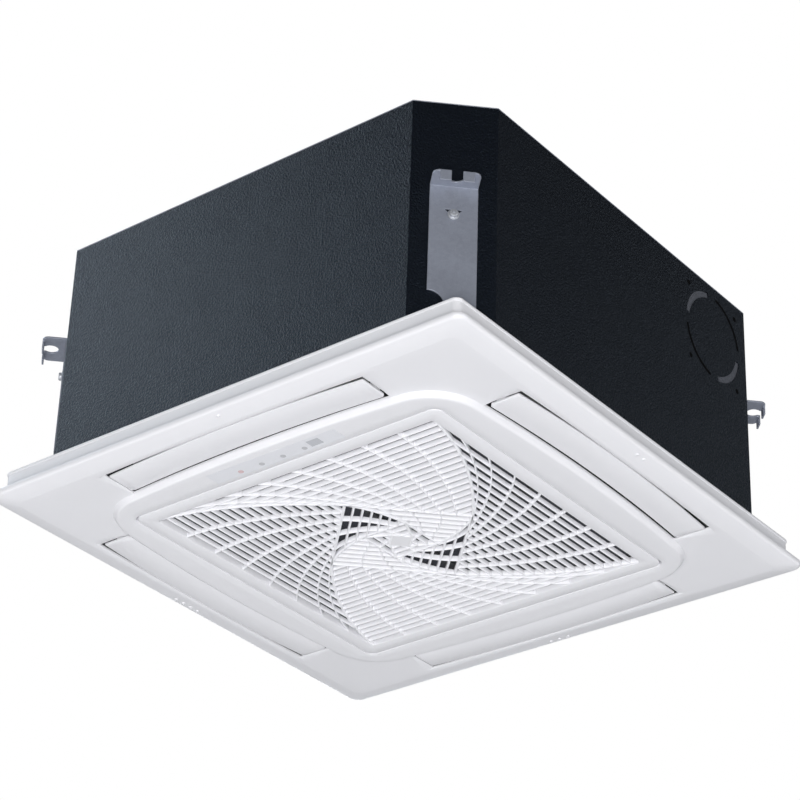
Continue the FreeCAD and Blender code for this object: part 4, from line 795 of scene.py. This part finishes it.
def dot_tree():
    """Row of low domes."""
    low_dome = (1.0, 1.0, 0.55)
    graph, given = node_tree("row_of_dots", {
        "Count": "Int", "Pitch": "Float", "Radius": "Float", "Place": "Vector", "Turn": "Float",
        "Material": "Material"})
    start = (given["Count"] - 1.0) * given["Pitch"] * -0.5
    line = graph.add("GeometryNodeMeshLine", None, {
        "Count": given["Count"], "Start Location": graph.vector(start),
        "Offset": graph.vector(given["Pitch"])})
    dome = graph.add("GeometryNodeMeshUVSphere", None,
                     {"Segments": 20, "Rings": 10, "Radius": given["Radius"]})
    dots = graph.add("GeometryNodeInstanceOnPoints", None,
                     {"Points": line, "Instance": dome, "Scale": low_dome})
    dots = graph.add("GeometryNodeTransform", None, {"Geometry": dots, "Translation": given["Place"]})
    turn = graph.vector(z=given["Turn"])
    dots = graph.add("GeometryNodeTransform", None, {"Geometry": dots, "Rotation": turn})
    return end_tree(graph, dots, given["Material"])


def merged(name, meshes):
    """One mesh from several."""
    shape = bmesh.new()
    for mesh in meshes:
        shape.from_mesh(mesh)
    return closed_mesh(name, shape)


class CASSETTE_OT_casing(bpy.types.Operator):
    """Casing, top plate and brackets with softened sheet-metal edges"""
    bl_idname = "cassette.casing"
    bl_label = "Casing and brackets"

    def execute(self, context):
        sheet = context.scene.cassette_sheet
        shell = softened("casing", sheet.soft, sheet.shortest)
        keep_piece("casing_shell", shell, "unit", "charcoal_coat", "casing")
        keep_piece("top_cover", softened("top_plate", sheet.soft), "unit", "zinc_steel", "top_plate")
        cover = softened("pipe_cover_plate", sheet.cover_soft)
        keep_piece("pipe_cover", cover, "unit", "charcoal_coat", "pipe_cover_plate")
        for corner in CORNERS:
            node = "hanger_bracket_" + corner
            keep_piece("bracket_" + corner, softened(node, sheet.soft), "unit", "zinc_steel", node)
        return {"FINISHED"}


class CASSETTE_OT_shade_strips(bpy.types.Operator):
    """Near-black strips of painted shade over the narrow slits and the holes of the knock-out"""
    bl_idname = "cassette.seals"
    bl_label = "Knock-out shade strips"

    def execute(self, context):
        shade_strip = context.scene.cassette_seal
        steps = 24
        inner = shade_strip.radius - shade_strip.width
        section = ((shade_strip.inside, inner), (shade_strip.outside, inner + shade_strip.soft),
                   (shade_strip.outside, shade_strip.radius - shade_strip.soft), (shade_strip.inside, shade_strip.radius))
        shape = bmesh.new()
        for middle in (0.75 * math.pi, 1.75 * math.pi):
            rings = []
            for i in range(steps + 1):
                angle = middle + shade_strip.half_angle * (2 * i / steps - 1)
                across = math.sin(angle)
                up = -math.cos(angle)
                rings.append([(x, shade_strip.middle_y + r * across, shade_strip.middle_z + r * up) for x, r in section])
            loft(shape, rings)
        for across in (-0.5, 0.5):
            for up in (-0.5, 0.5):
                y = shade_strip.middle_y + shade_strip.pitch * across
                z = shade_strip.middle_z + shade_strip.pitch * up
                ends = ((shade_strip.inside, shade_strip.hole_r), (shade_strip.outside, shade_strip.hole_r - shade_strip.soft))
                loft(shape, [[(x, y + r * c, z + r * s) for c, s in circle(16)] for x, r in ends])
        keep_piece("knockout_seals", closed_mesh("knockout_seals", shape), "unit", "seal_black")
        return {"FINISHED"}


# Shares of the driver's recess in radius and depth, from its mouth to its floor
RECESS_SECTION = ((1.0, 0.0), (0.85, 0.9), (0.3, 1.0))


class CASSETTE_OT_screws(bpy.types.Operator):
    """Washer-headed screws of the brackets, with a recess for the driver"""
    bl_idname = "cassette.screws"
    bl_label = "Bracket screws"

    def execute(self, context):
        screw = context.scene.cassette_screw
        soft = screw.soft
        washer = screw.seat + screw.washer
        head = washer + screw.head
        section = [
            (screw.shank_r, washer - screw.shank), (screw.shank_r, screw.seat),
            (screw.washer_r - soft, screw.seat), (screw.washer_r, screw.seat + soft),
            (screw.washer_r, washer - soft), (screw.washer_r - soft, washer),
            (screw.head_r + soft, washer), (screw.head_r, washer + soft),
            (screw.head_r, head - 3 * soft), (screw.head_r - soft, head - soft),
            (screw.head_r - 3 * soft, head)]
        for radius, depth in RECESS_SECTION:
            section.append((screw.recess_r * radius, head - screw.recess * depth))
        shape = bmesh.new()
        for corner in range(4):
            turn = math.radians(45 + 90 * corner)
            rings = []
            for radius, out in section:
                ring = []
                for cosine, sine in circle(32):
                    side = radius * cosine
                    ring.append((out * math.cos(turn) - side * math.sin(turn),
                                 out * math.sin(turn) + side * math.cos(turn), screw.level + radius * sine))
                rings.append(ring)
            loft(shape, rings)
        mesh = closed_mesh("bracket_screws", shape)
        keep_piece("bracket_screws", mesh, "unit", "screw_zinc", "hanger_screws")
        return {"FINISHED"}


# Rings of the panel's moulding, in metres, each measured from the edge that it belongs to
# Raised centre: half width, corner radius and share of the bow
CENTRE_RINGS = ((0.212, 0.028, 0.35), (0.222, 0.046, 0.8))
# Its rounded edge: inwards from the outlets, less corner radius, up from its face
CENTRE_EDGE = (
    (0.0059, 0.005, 0.0), (0.0046, 0.0037, 0.0002), (0.0036, 0.0027, 0.0007), (0.0028, 0.0019, 0.0016))
# Foot of its slope: inwards from the outlets, less corner radius, down from the field
FOOT_BACK = 0.0006
FOOT_CORNER = 0.0005
FOOT_DOWN = 0.0009
# Across the outlets: half width and corner radius, and the corner radius at their outer edge
OUTLET_RINGS = ((0.244, 0.058), (0.255, 0.05), (0.265, 0.04))
OUTLET_CORNER = 0.03
# Fold between field and border: inwards with a corner radius and a share of the bow, then outwards and up
FOLD_BACK = 0.001
FOLD_CORNER = 0.013
FOLD_BOW = 0.05
FOLD_OUT = 0.0006
FOLD_UP = 0.00015
# Edge of the rim: inwards and up from its underside, then inwards and down from its upper face
RIM_EDGE = (
    (0.0034, -0.0006), (0.0022, -0.0002), (0.0012, 0.0005), (0.0005, 0.0014), (0.0001, 0.0025), (0.0, 0.0036))
RIM_TOP = ((0.0, 0.0008), (0.0002, 0.0002), (0.0008, 0.0))
# Skirt: outwards and up from the rim, then a share of the bead and down from the upper edge
SKIRT_FOOT = ((0.0007, 0.0), (0.0001, 0.0002), (0.0, 0.0008))
SKIRT_BEAD = ((0.0, 0.0032), (0.6, 0.0029), (1.0, 0.0018), (1.0, 0.0008), (0.5, 0.0))
# Upper edge of the skirt: how far its flat keeps from both faces, its inner corner radius and slope
BRIM = 0.0003
BRIM_CORNER = 0.006
BRIM_SLOPE = 0.0006
# Cavity behind the raised centre: inwards from the outlets, less corner radius
CAVITY_BACK = 0.0065
CAVITY_CORNER = 0.0055


def panel_section(panel):
    """Rings of the panel's wall, once round, the first ring of the outlets on its face and back, their steps.

    A ring is a half width, a corner radius, a level above the rim's underside and a bow of its sides.
    """
    wall, bow, corner = panel.wall, panel.bow, panel.island_corner
    field = -panel.field_drop
    centre = -panel.island_drop
    inside = field + wall
    ledge = panel.ledge_up
    inner, outer = panel.outlet_inner, panel.outlet_outer
    edge, edge_corner = panel.opening_half, panel.opening_corner

    rings = [(panel.ledge_half, panel.ledge_corner, ledge + wall, 0)]
    rings += [(panel.ledge_half, panel.ledge_corner, ledge, 0), (edge, edge_corner, ledge, 0)]
    for out, up in rounded_edge(panel.opening_soft):
        rings.append((edge + out, edge_corner + out, centre + up, 0))
    rings += [(half, radius, centre, bow * share) for half, radius, share in CENTRE_RINGS]
    rings += [(inner - back, corner - less, centre + up, bow) for back, less, up in CENTRE_EDGE]
    rings.append((inner - FOOT_BACK, corner - FOOT_CORNER, field - FOOT_DOWN, bow))

    across = [(inner, corner), *OUTLET_RINGS, (outer, OUTLET_CORNER)]
    on_face = len(rings)
    rings += [(half, radius, field, bow) for half, radius in across]
    for out in (panel.outlet_soft / 3, panel.outlet_soft):
        rings.append((outer + out, OUTLET_CORNER - out, field, bow))

    border, rim_corner = panel.field_half, panel.rim_corner
    rings.append((border - FOLD_BACK, FOLD_CORNER, field, bow * FOLD_BOW))
    rings.append((border + FOLD_OUT, rim_corner, field + FOLD_UP, 0))
    rings += [(panel.half - back, rim_corner, up, 0) for back, up in RIM_EDGE]
    rings += [(panel.half - back, rim_corner, panel.rim - down, 0) for back, down in RIM_TOP]

    skirt, top, skirt_corner = panel.skirt_half, panel.skirt_top, panel.skirt_corner
    rings += [(skirt + out, skirt_corner, panel.rim + up, 0) for out, up in SKIRT_FOOT]
    rings += [(skirt + panel.bead * share, skirt_corner, top - down, 0) for share, down in SKIRT_BEAD]
    rings += [(skirt - BRIM, skirt_corner, top, 0), (skirt - wall + BRIM, BRIM_CORNER, top, 0)]
    rings += [(skirt - wall, skirt_corner - wall, level, 0) for level in (top - BRIM_SLOPE, wall)]
    rings += [(border - wall, rim_corner - wall, level, 0) for level in (wall, inside)]

    on_back = len(rings)
    rings += [(half, radius, inside, bow) for half, radius in reversed(across)]
    rings += [(inner - CAVITY_BACK, corner - CAVITY_CORNER, level, bow) for level in (inside, centre + wall)]
    rings += [(edge + wall, edge_corner + wall, level, 0) for level in (centre + wall, ledge + wall)]
    return rings, on_face, on_back, len(across) - 1


class CASSETTE_OT_panel(bpy.types.Operator):
    """Panel frame with its sloping border, rim, skirt, raised centre and outlets"""
    bl_idname = "cassette.panel"
    bl_label = "Panel"

    def execute(self, context):
        panel = context.scene.cassette_panel
        section, on_face, on_back, steps = panel_section(panel)
        rings = [square_ring(half, corner, panel.rim_z + level, bow, panel.outlet_half)
                 for half, corner, level, bow in section]
        face_end = on_face + steps
        back_end = on_back + steps
        self.ease_outlets(panel, section, rings, range(on_face + 1, face_end + 3))
        span = len(SIDE_STEPS) - 1

        def in_outlet(ring, column):
            """Whether a face of the wall lies where an outlet is open."""
            across = on_face <= ring < face_end or on_back <= ring < back_end
            return across and column % COLUMNS < span

        shape = bmesh.new()
        rows = ring_mesh(shape, rings, in_outlet)
        for side in range(4):
            start = side * COLUMNS
            for column in range(start, start + span):
                for face, behind in ((rows[on_face], rows[back_end]), (rows[face_end], rows[on_back])):
                    shape.faces.new((face[column], face[column + 1], behind[column + 1], behind[column]))
            for column in (start, start + span):
                for i in range(steps):
                    corners = (on_face + i, on_face + i + 1, back_end - i - 1, back_end - i)
                    shape.faces.new([rows[ring][column] for ring in corners])
        ledge = panel.rim_z + panel.ledge_up
        for x in (-panel.catch_x, panel.catch_x):
            bore(shape, x, panel.catch_y, panel.catch_r, (ledge, ledge + panel.wall))
        mesh = closed_mesh("panel_moulding", shape)
        keep_piece("panel_moulding", mesh, "unit", "panel_white", "panel_frame")
        return {"FINISHED"}

    def ease_outlets(self, panel, section, rings, numbers):
        """Lift the face towards the outlets' outer edge and ends, as a quarter round."""
        ease = panel.outlet_soft
        for number in numbers:
            past_edge = max(0.0, section[number][0] - panel.outlet_outer)
            for column, point in enumerate(rings[number]):
                local = quarter(point, -(column // COLUMNS))
                past_end = max(0.0, abs(local.x) - panel.outlet_half)
                gap = math.hypot(past_end, past_edge)
                if gap < ease and -local.y > abs(local.x):
                    point.z += ease - math.sqrt(ease * ease - (ease - gap) ** 2)


class CASSETTE_OT_dots(bpy.types.Operator):
    """Raised dots that number the outlets, one to four"""
    bl_idname = "cassette.dots"
    bl_label = "Outlet dots"

    def execute(self, context):
        panel = context.scene.cassette_panel
        slope = (panel.dot_out - panel.field_half) / (panel.half - panel.field_half)
        level = panel.rim_z - panel.field_drop * (1 - slope)
        tree = dot_tree()
        rows = []
        for side in range(4):
            rows.append(node_tree_mesh("dots_" + SIDES[side], tree, {
                "Count": side + 1, "Pitch": panel.dot_pitch, "Radius": panel.dot_r,
                "Place": (panel.dot_side, -panel.dot_out, level), "Turn": side * math.pi / 2,
                "Material": finish("panel_white")}))
        keep_piece("outlet_dots", merged("outlet_dots", rows), "unit", "panel_white")
        return {"FINISHED"}


class CASSETTE_OT_flaps(bpy.types.Operator):
    """Air flaps with rounded edges, arms and hinge pins"""
    bl_idname = "cassette.flaps"
    bl_label = "Air flaps"

    def execute(self, context):
        flap = context.scene.cassette_flap
        panel = context.scene.cassette_panel
        low = panel.rim_z - panel.field_drop
        high = low + flap.plate
        blunt = flap.back_soft
        edge = rounded_edge(flap.soft)
        section = [(out, low + up) for out, up in edge]
        section += [(flap.width - out, low + up) for out, up in reversed(edge)]
        section += [(flap.width, high - blunt), (flap.width - blunt, high)]
        section += [(blunt, high), (0.0, high - blunt)]
        stations = [(-flap.half, blunt), (flap.soft - flap.half, 0.0)]
        stations += [(u * (flap.half - flap.corner), 0.0) for u in SIDE_STEPS]
        stations += [(flap.half - flap.soft, 0.0), (flap.half, blunt)]
        axis_y = -(flap.inner + flap.axis_in)
        axis_z = low + flap.axis_up
        arm_r = 2 * flap.pin_r
        foot = high - flap.plate / 2
        turns = circle(24)
        arm = [(axis_y - arm_r, foot), (axis_y + arm_r, foot)]
        arm += [(axis_y + arm_r * cosine, axis_z + arm_r * sine) for cosine, sine in turns[:13]]
        pin = [(axis_y + flap.pin_r * cosine, axis_z + flap.pin_r * sine) for cosine, sine in turns]
        for side, name in enumerate(SIDES):
            shape = bmesh.new()
            rings = []
            for x, shrink in stations:
                lift = panel.bow * (1 - (x / flap.half) ** 2)
                cut = max(0.0, abs(x) - flap.half + flap.corner)
                ring = []
                for out, z in section:
                    out = min(max(out, shrink + cut), flap.width - shrink)
                    z = min(max(z, low + shrink), high - shrink)
                    ring.append(quarter((x, -(flap.inner + out + lift), z), side))
                rings.append(ring)
            loft(shape, rings)
            for sign in (-1, 1):
                for outline, end in ((arm, flap.half - flap.arm_inset), (pin, flap.pin_reach)):
                    ends = (sign * (flap.half - flap.arm), sign * end)
                    loft(shape, [[quarter((x, y, z), side) for y, z in outline] for x in ends])
            mesh = closed_mesh("air_flap_" + name, shape)
            keep_piece("air_flap_" + name, mesh, name + "_flap", "panel_white", "flap_" + name)
        return {"FINISHED"}


# Rounded edge of the grille's frame round the whirl: outwards, up from the face
WHIRL_EDGE = ((0.0014, 0.0), (0.0004, 0.0003), (0.0, 0.0012))
# Share of a side that its evenly spaced columns take up
STRAIGHT_SHARE = 0.9


class CASSETTE_OT_grille(bpy.types.Operator):
    """Intake grille: a frame round nested whirls of slats and a small middle plate"""
    bl_idname = "cassette.grille"
    bl_label = "Intake grille"

    def execute(self, context):
        grille = context.scene.cassette_grille
        face = grille.face_z
        whirl = grille.whirl_half
        reach = whirl * STRAIGHT_SHARE
        border = [(grille.half, grille.corner, grille.back_z)]
        for back, up in rounded_edge(grille.soft):
            border.append((grille.half - back, grille.corner, face + up))
        border += [(whirl + out, grille.whirl_corner + out, face + up) for out, up in WHIRL_EDGE]
        border.append((whirl, grille.whirl_corner, grille.back_z))
        shape = bmesh.new()
        ring_mesh(shape, [square_ring(half, corner, z, 0.0, reach) for half, corner, z in border])
        low = face + grille.set_back
        hub = []
        for shrink, z in ((grille.hub_soft, low), (0.0, low + grille.hub_soft), (0.0, low + grille.depth)):
            radius = grille.hub_r - shrink * math.sqrt(2)
            hub.append([quarter((radius, 0, z), turn) for turn in range(4)])
        loft(shape, hub)
        mesh = closed_mesh("whirl_grille", shape)
        keep_piece("whirl_grille", mesh, "grille", "panel_white", "intake_grille")
        slats = merged("whirl_slats", self.whirls(grille, low))
        keep_piece("whirl_slats", slats, "grille", "slat_white")
        return {"FINISHED"}

    def whirls(self, grille, low):
        """Slats of the three whirls, each in the square that the one before leaves open."""
        tree = whirl_tree()
        second = grille.inner_r / math.sqrt(2)
        third = grille.core_r / math.sqrt(2)
        side_share = grille.side_depth / grille.depth
        levels = [
            (grille.whirl_half, grille.inner_r, grille.bulge, grille.cells, side_share, 0.0),
            (second, grille.core_r, grille.inner_bulge, grille.cells // 2, 1.0, math.pi / 4),
            (third, grille.hub_r, grille.core_bulge, grille.cells // 4, 1.0, 0.0)]
        meshes = []
        for half, inner, bulge, cells, share, turn in levels:
            rows = int(half / grille.pitch - 0.5)
            meshes.append(node_tree_mesh("whirl", tree, {
                "Half": half, "Inner": inner, "Bulge": bulge, "Rows": rows, "Cells": cells,
                "Pitch": grille.pitch, "Slat": grille.slat, "Rib": grille.rib, "Ridge": grille.ridge,
                "Depth": grille.depth, "Side Share": share, "Low": low, "Turn": turn,
                "Material": finish("slat_white")}))
        return meshes


class CASSETTE_OT_fittings(bpy.types.Operator):
    """Finishes of the pieces that keep their frame shape"""
    bl_idname = "cassette.fittings"
    bl_label = "Fittings and inner pieces"

    def execute(self, context):
        for entry in frame["record"]["subparts"]:
            node = entry["node"]
            piece = frame["nodes"][node]
            piece.data.materials.clear()
            piece.data.materials.append(finish(FINISH_OF.get(node, entry["material_slot"])))
        return {"FINISHED"}


# Name, place, size in metres, power in watts and colour of each lamp; all but the floor's face the target
LAMP_TARGET = Vector((0.0, 0.0, -0.12))
LAMPS = (
    ("front_key", (2.6, -3.45, -2.6), 1.6, 172.0, (1.0, 1.0, 1.0)),
    ("right_fill", (2.7, 0.0, -0.3), 1.2, 12.0, (0.97, 0.98, 1.0)),
    ("left_sheet", (-2.9, -1.2, 2.0), 1.2, 42.0, (0.8, 0.9, 1.0)),
    ("right_sheet", (1.1, 3.0, 1.45), 1.0, 2.2, (0.8, 0.9, 1.0)),
    ("front_edge", (-2.1, -2.0, -2.6), 1.0, 22.0, (1.0, 1.0, 1.0)),
    ("right_edge", (2.0, 2.7, -2.1), 1.0, 7.0, (1.0, 1.0, 1.0)),
    ("floor_wash", (0.0, 0.0, -2.0), 16.0, 190.0, (0.99, 0.99, 1.0)),
    ("back_fill", (-2.5, 2.9, 0.8), 1.6, 40.0, (0.9, 0.95, 1.0)),
    ("top_fill", (-0.6, 0.8, 2.8), 2.2, 30.0, (0.95, 0.97, 1.0)),
)
COOL_WHITE = (0.97, 0.985, 1.0, 1.0)
WHITE = (1.0, 1.0, 1.0, 1.0)
FLOOR_CELLS = 8


class CASSETTE_OT_studio(bpy.types.Operator):
    """Pale floor, soft lights, even surroundings and the camera"""
    bl_idname = "cassette.studio"
    bl_label = "Studio"

    def execute(self, context):
        scene = context.scene
        studio = scene.cassette_studio
        self.lay_floor(scene, studio)
        self.surround(scene, studio)
        for name, place, size, power, colour in LAMPS:
            lamp = bpy.data.lights.new(name, "AREA")
            lamp.size = size
            lamp.energy = power
            lamp.color = colour
            holder = bpy.data.objects.new(name, lamp)
            scene.collection.objects.link(holder)
            holder.location = place
            holder.visible_camera = False
            if name != "floor_wash":
                holder.rotation_euler = (LAMP_TARGET - Vector(place)).to_track_quat("-Z", "Y").to_euler()

        camera = bpy.data.objects.new("camera", bpy.data.cameras.new("camera"))
        camera.data.lens = studio.lens
        camera.data.sensor_width = studio.sensor
        camera.location = studio.place
        camera.rotation_euler = Euler(studio.turn, "XYZ")
        scene.collection.objects.link(camera)
        scene.camera = camera
        scene.view_settings.view_transform = "Standard"
        return {"FINISHED"}

    def lay_floor(self, scene, studio):
        """Pale floor well below the unit."""
        shape = bmesh.new()
        bmesh.ops.create_grid(shape, x_segments=FLOOR_CELLS, y_segments=FLOOR_CELLS, size=studio.floor_half)
        bmesh.ops.translate(shape, vec=(0, 0, studio.floor_z), verts=shape.verts)
        mesh = bpy.data.meshes.new("studio_floor")
        shape.to_mesh(mesh)
        shape.free()
        mesh.materials.append(plain_finish(
            "studio_floor", (0.8, 0.8, 0.8), rough=0.8, grain=40.0, relief=0.0002, change=0.01))
        floor = bpy.data.objects.new("studio_floor", mesh)
        scene.collection.objects.link(floor)

    def surround(self, scene, studio):
        """Even light that is stronger from below, and plain white behind the unit."""
        world = bpy.data.worlds.new("studio_light")
        world.use_nodes = True
        scene.world = world
        tree = Graph(world.node_tree)
        world.node_tree.nodes.clear()
        direction = tree.add("ShaderNodeTexCoord", None, None, "Object")
        height = tree.add("ShaderNodeSeparateXYZ", None, {0: direction}, 2)
        below = (0.5 - height * 0.5).math("POWER", 2.0) * studio.fill + studio.least
        light = tree.add("ShaderNodeBackground", None, {"Color": COOL_WHITE, "Strength": below})
        white = tree.add("ShaderNodeBackground", None, {"Color": WHITE, "Strength": 1.0})
        seen = tree.add("ShaderNodeLightPath", None, None, "Is Camera Ray")
        both = tree.add("ShaderNodeMixShader", None, {0: seen, 1: light, 2: white})
        tree.add("ShaderNodeOutputWorld", None, {0: both})


class VIEW3D_PT_cassette(bpy.types.Panel):
    """Sidebar panel with the steps and sizes of the cassette"""
    bl_label = "Ceiling cassette"
    bl_idname = "VIEW3D_PT_cassette"
    bl_space_type = "VIEW_3D"
    bl_region_type = "UI"
    bl_category = "Cassette"

    def draw(self, context):
        for step in STEPS:
            self.layout.operator(step.bl_idname)
        for key in GROUPS:
            column = self.layout.column(heading=key)
            group = getattr(context.scene, key)
            for prop in group.bl_rna.properties:
                if not prop.is_readonly and prop.identifier != "name":
                    column.prop(group, prop.identifier)


STEPS = (
    CASSETTE_OT_fittings, CASSETTE_OT_casing, CASSETTE_OT_shade_strips, CASSETTE_OT_screws, CASSETTE_OT_panel,
    CASSETTE_OT_dots, CASSETTE_OT_flaps, CASSETTE_OT_grille, CASSETTE_OT_studio)
GROUPS = {
    "cassette_sheet": CassetteSheetSizes,
    "cassette_screw": CassetteScrewSizes,
    "cassette_seal": CassetteShadeStripSizes,
    "cassette_panel": CassettePanelSizes,
    "cassette_flap": CassetteFlapSizes,
    "cassette_grille": CassetteGrilleSizes,
    "cassette_finishes": CassetteFinishes,
    "cassette_studio": CassetteStudio,
}


def register():
    """Add the sizes, the steps and the panel."""
    for key, group in GROUPS.items():
        bpy.utils.register_class(group)
        setattr(bpy.types.Scene, key, PointerProperty(type=group))
    for step in STEPS + (VIEW3D_PT_cassette,):
        bpy.utils.register_class(step)


def unregister():
    """Take them away again."""
    for step in reversed(STEPS + (VIEW3D_PT_cassette,)):
        bpy.utils.unregister_class(step)
    for key, group in GROUPS.items():
        delattr(bpy.types.Scene, key)
        bpy.utils.unregister_class(group)


def main():
    """Make every piece in order."""
    for leftover in ("Cube", "Light", "Camera"):
        if leftover in bpy.data.objects:
            bpy.data.objects.remove(bpy.data.objects[leftover])
    register()
    bpy.ops.cassette.fittings()
    bpy.ops.cassette.casing()
    # Near-black strips of painted shade over the knock-out's slits and holes
    bpy.ops.cassette.seals()
    bpy.ops.cassette.screws()
    bpy.ops.cassette.panel()
    bpy.ops.cassette.dots()
    bpy.ops.cassette.flaps()
    bpy.ops.cassette.grille()
    bpy.ops.cassette.studio()


if __name__ == "__main__":
    main()
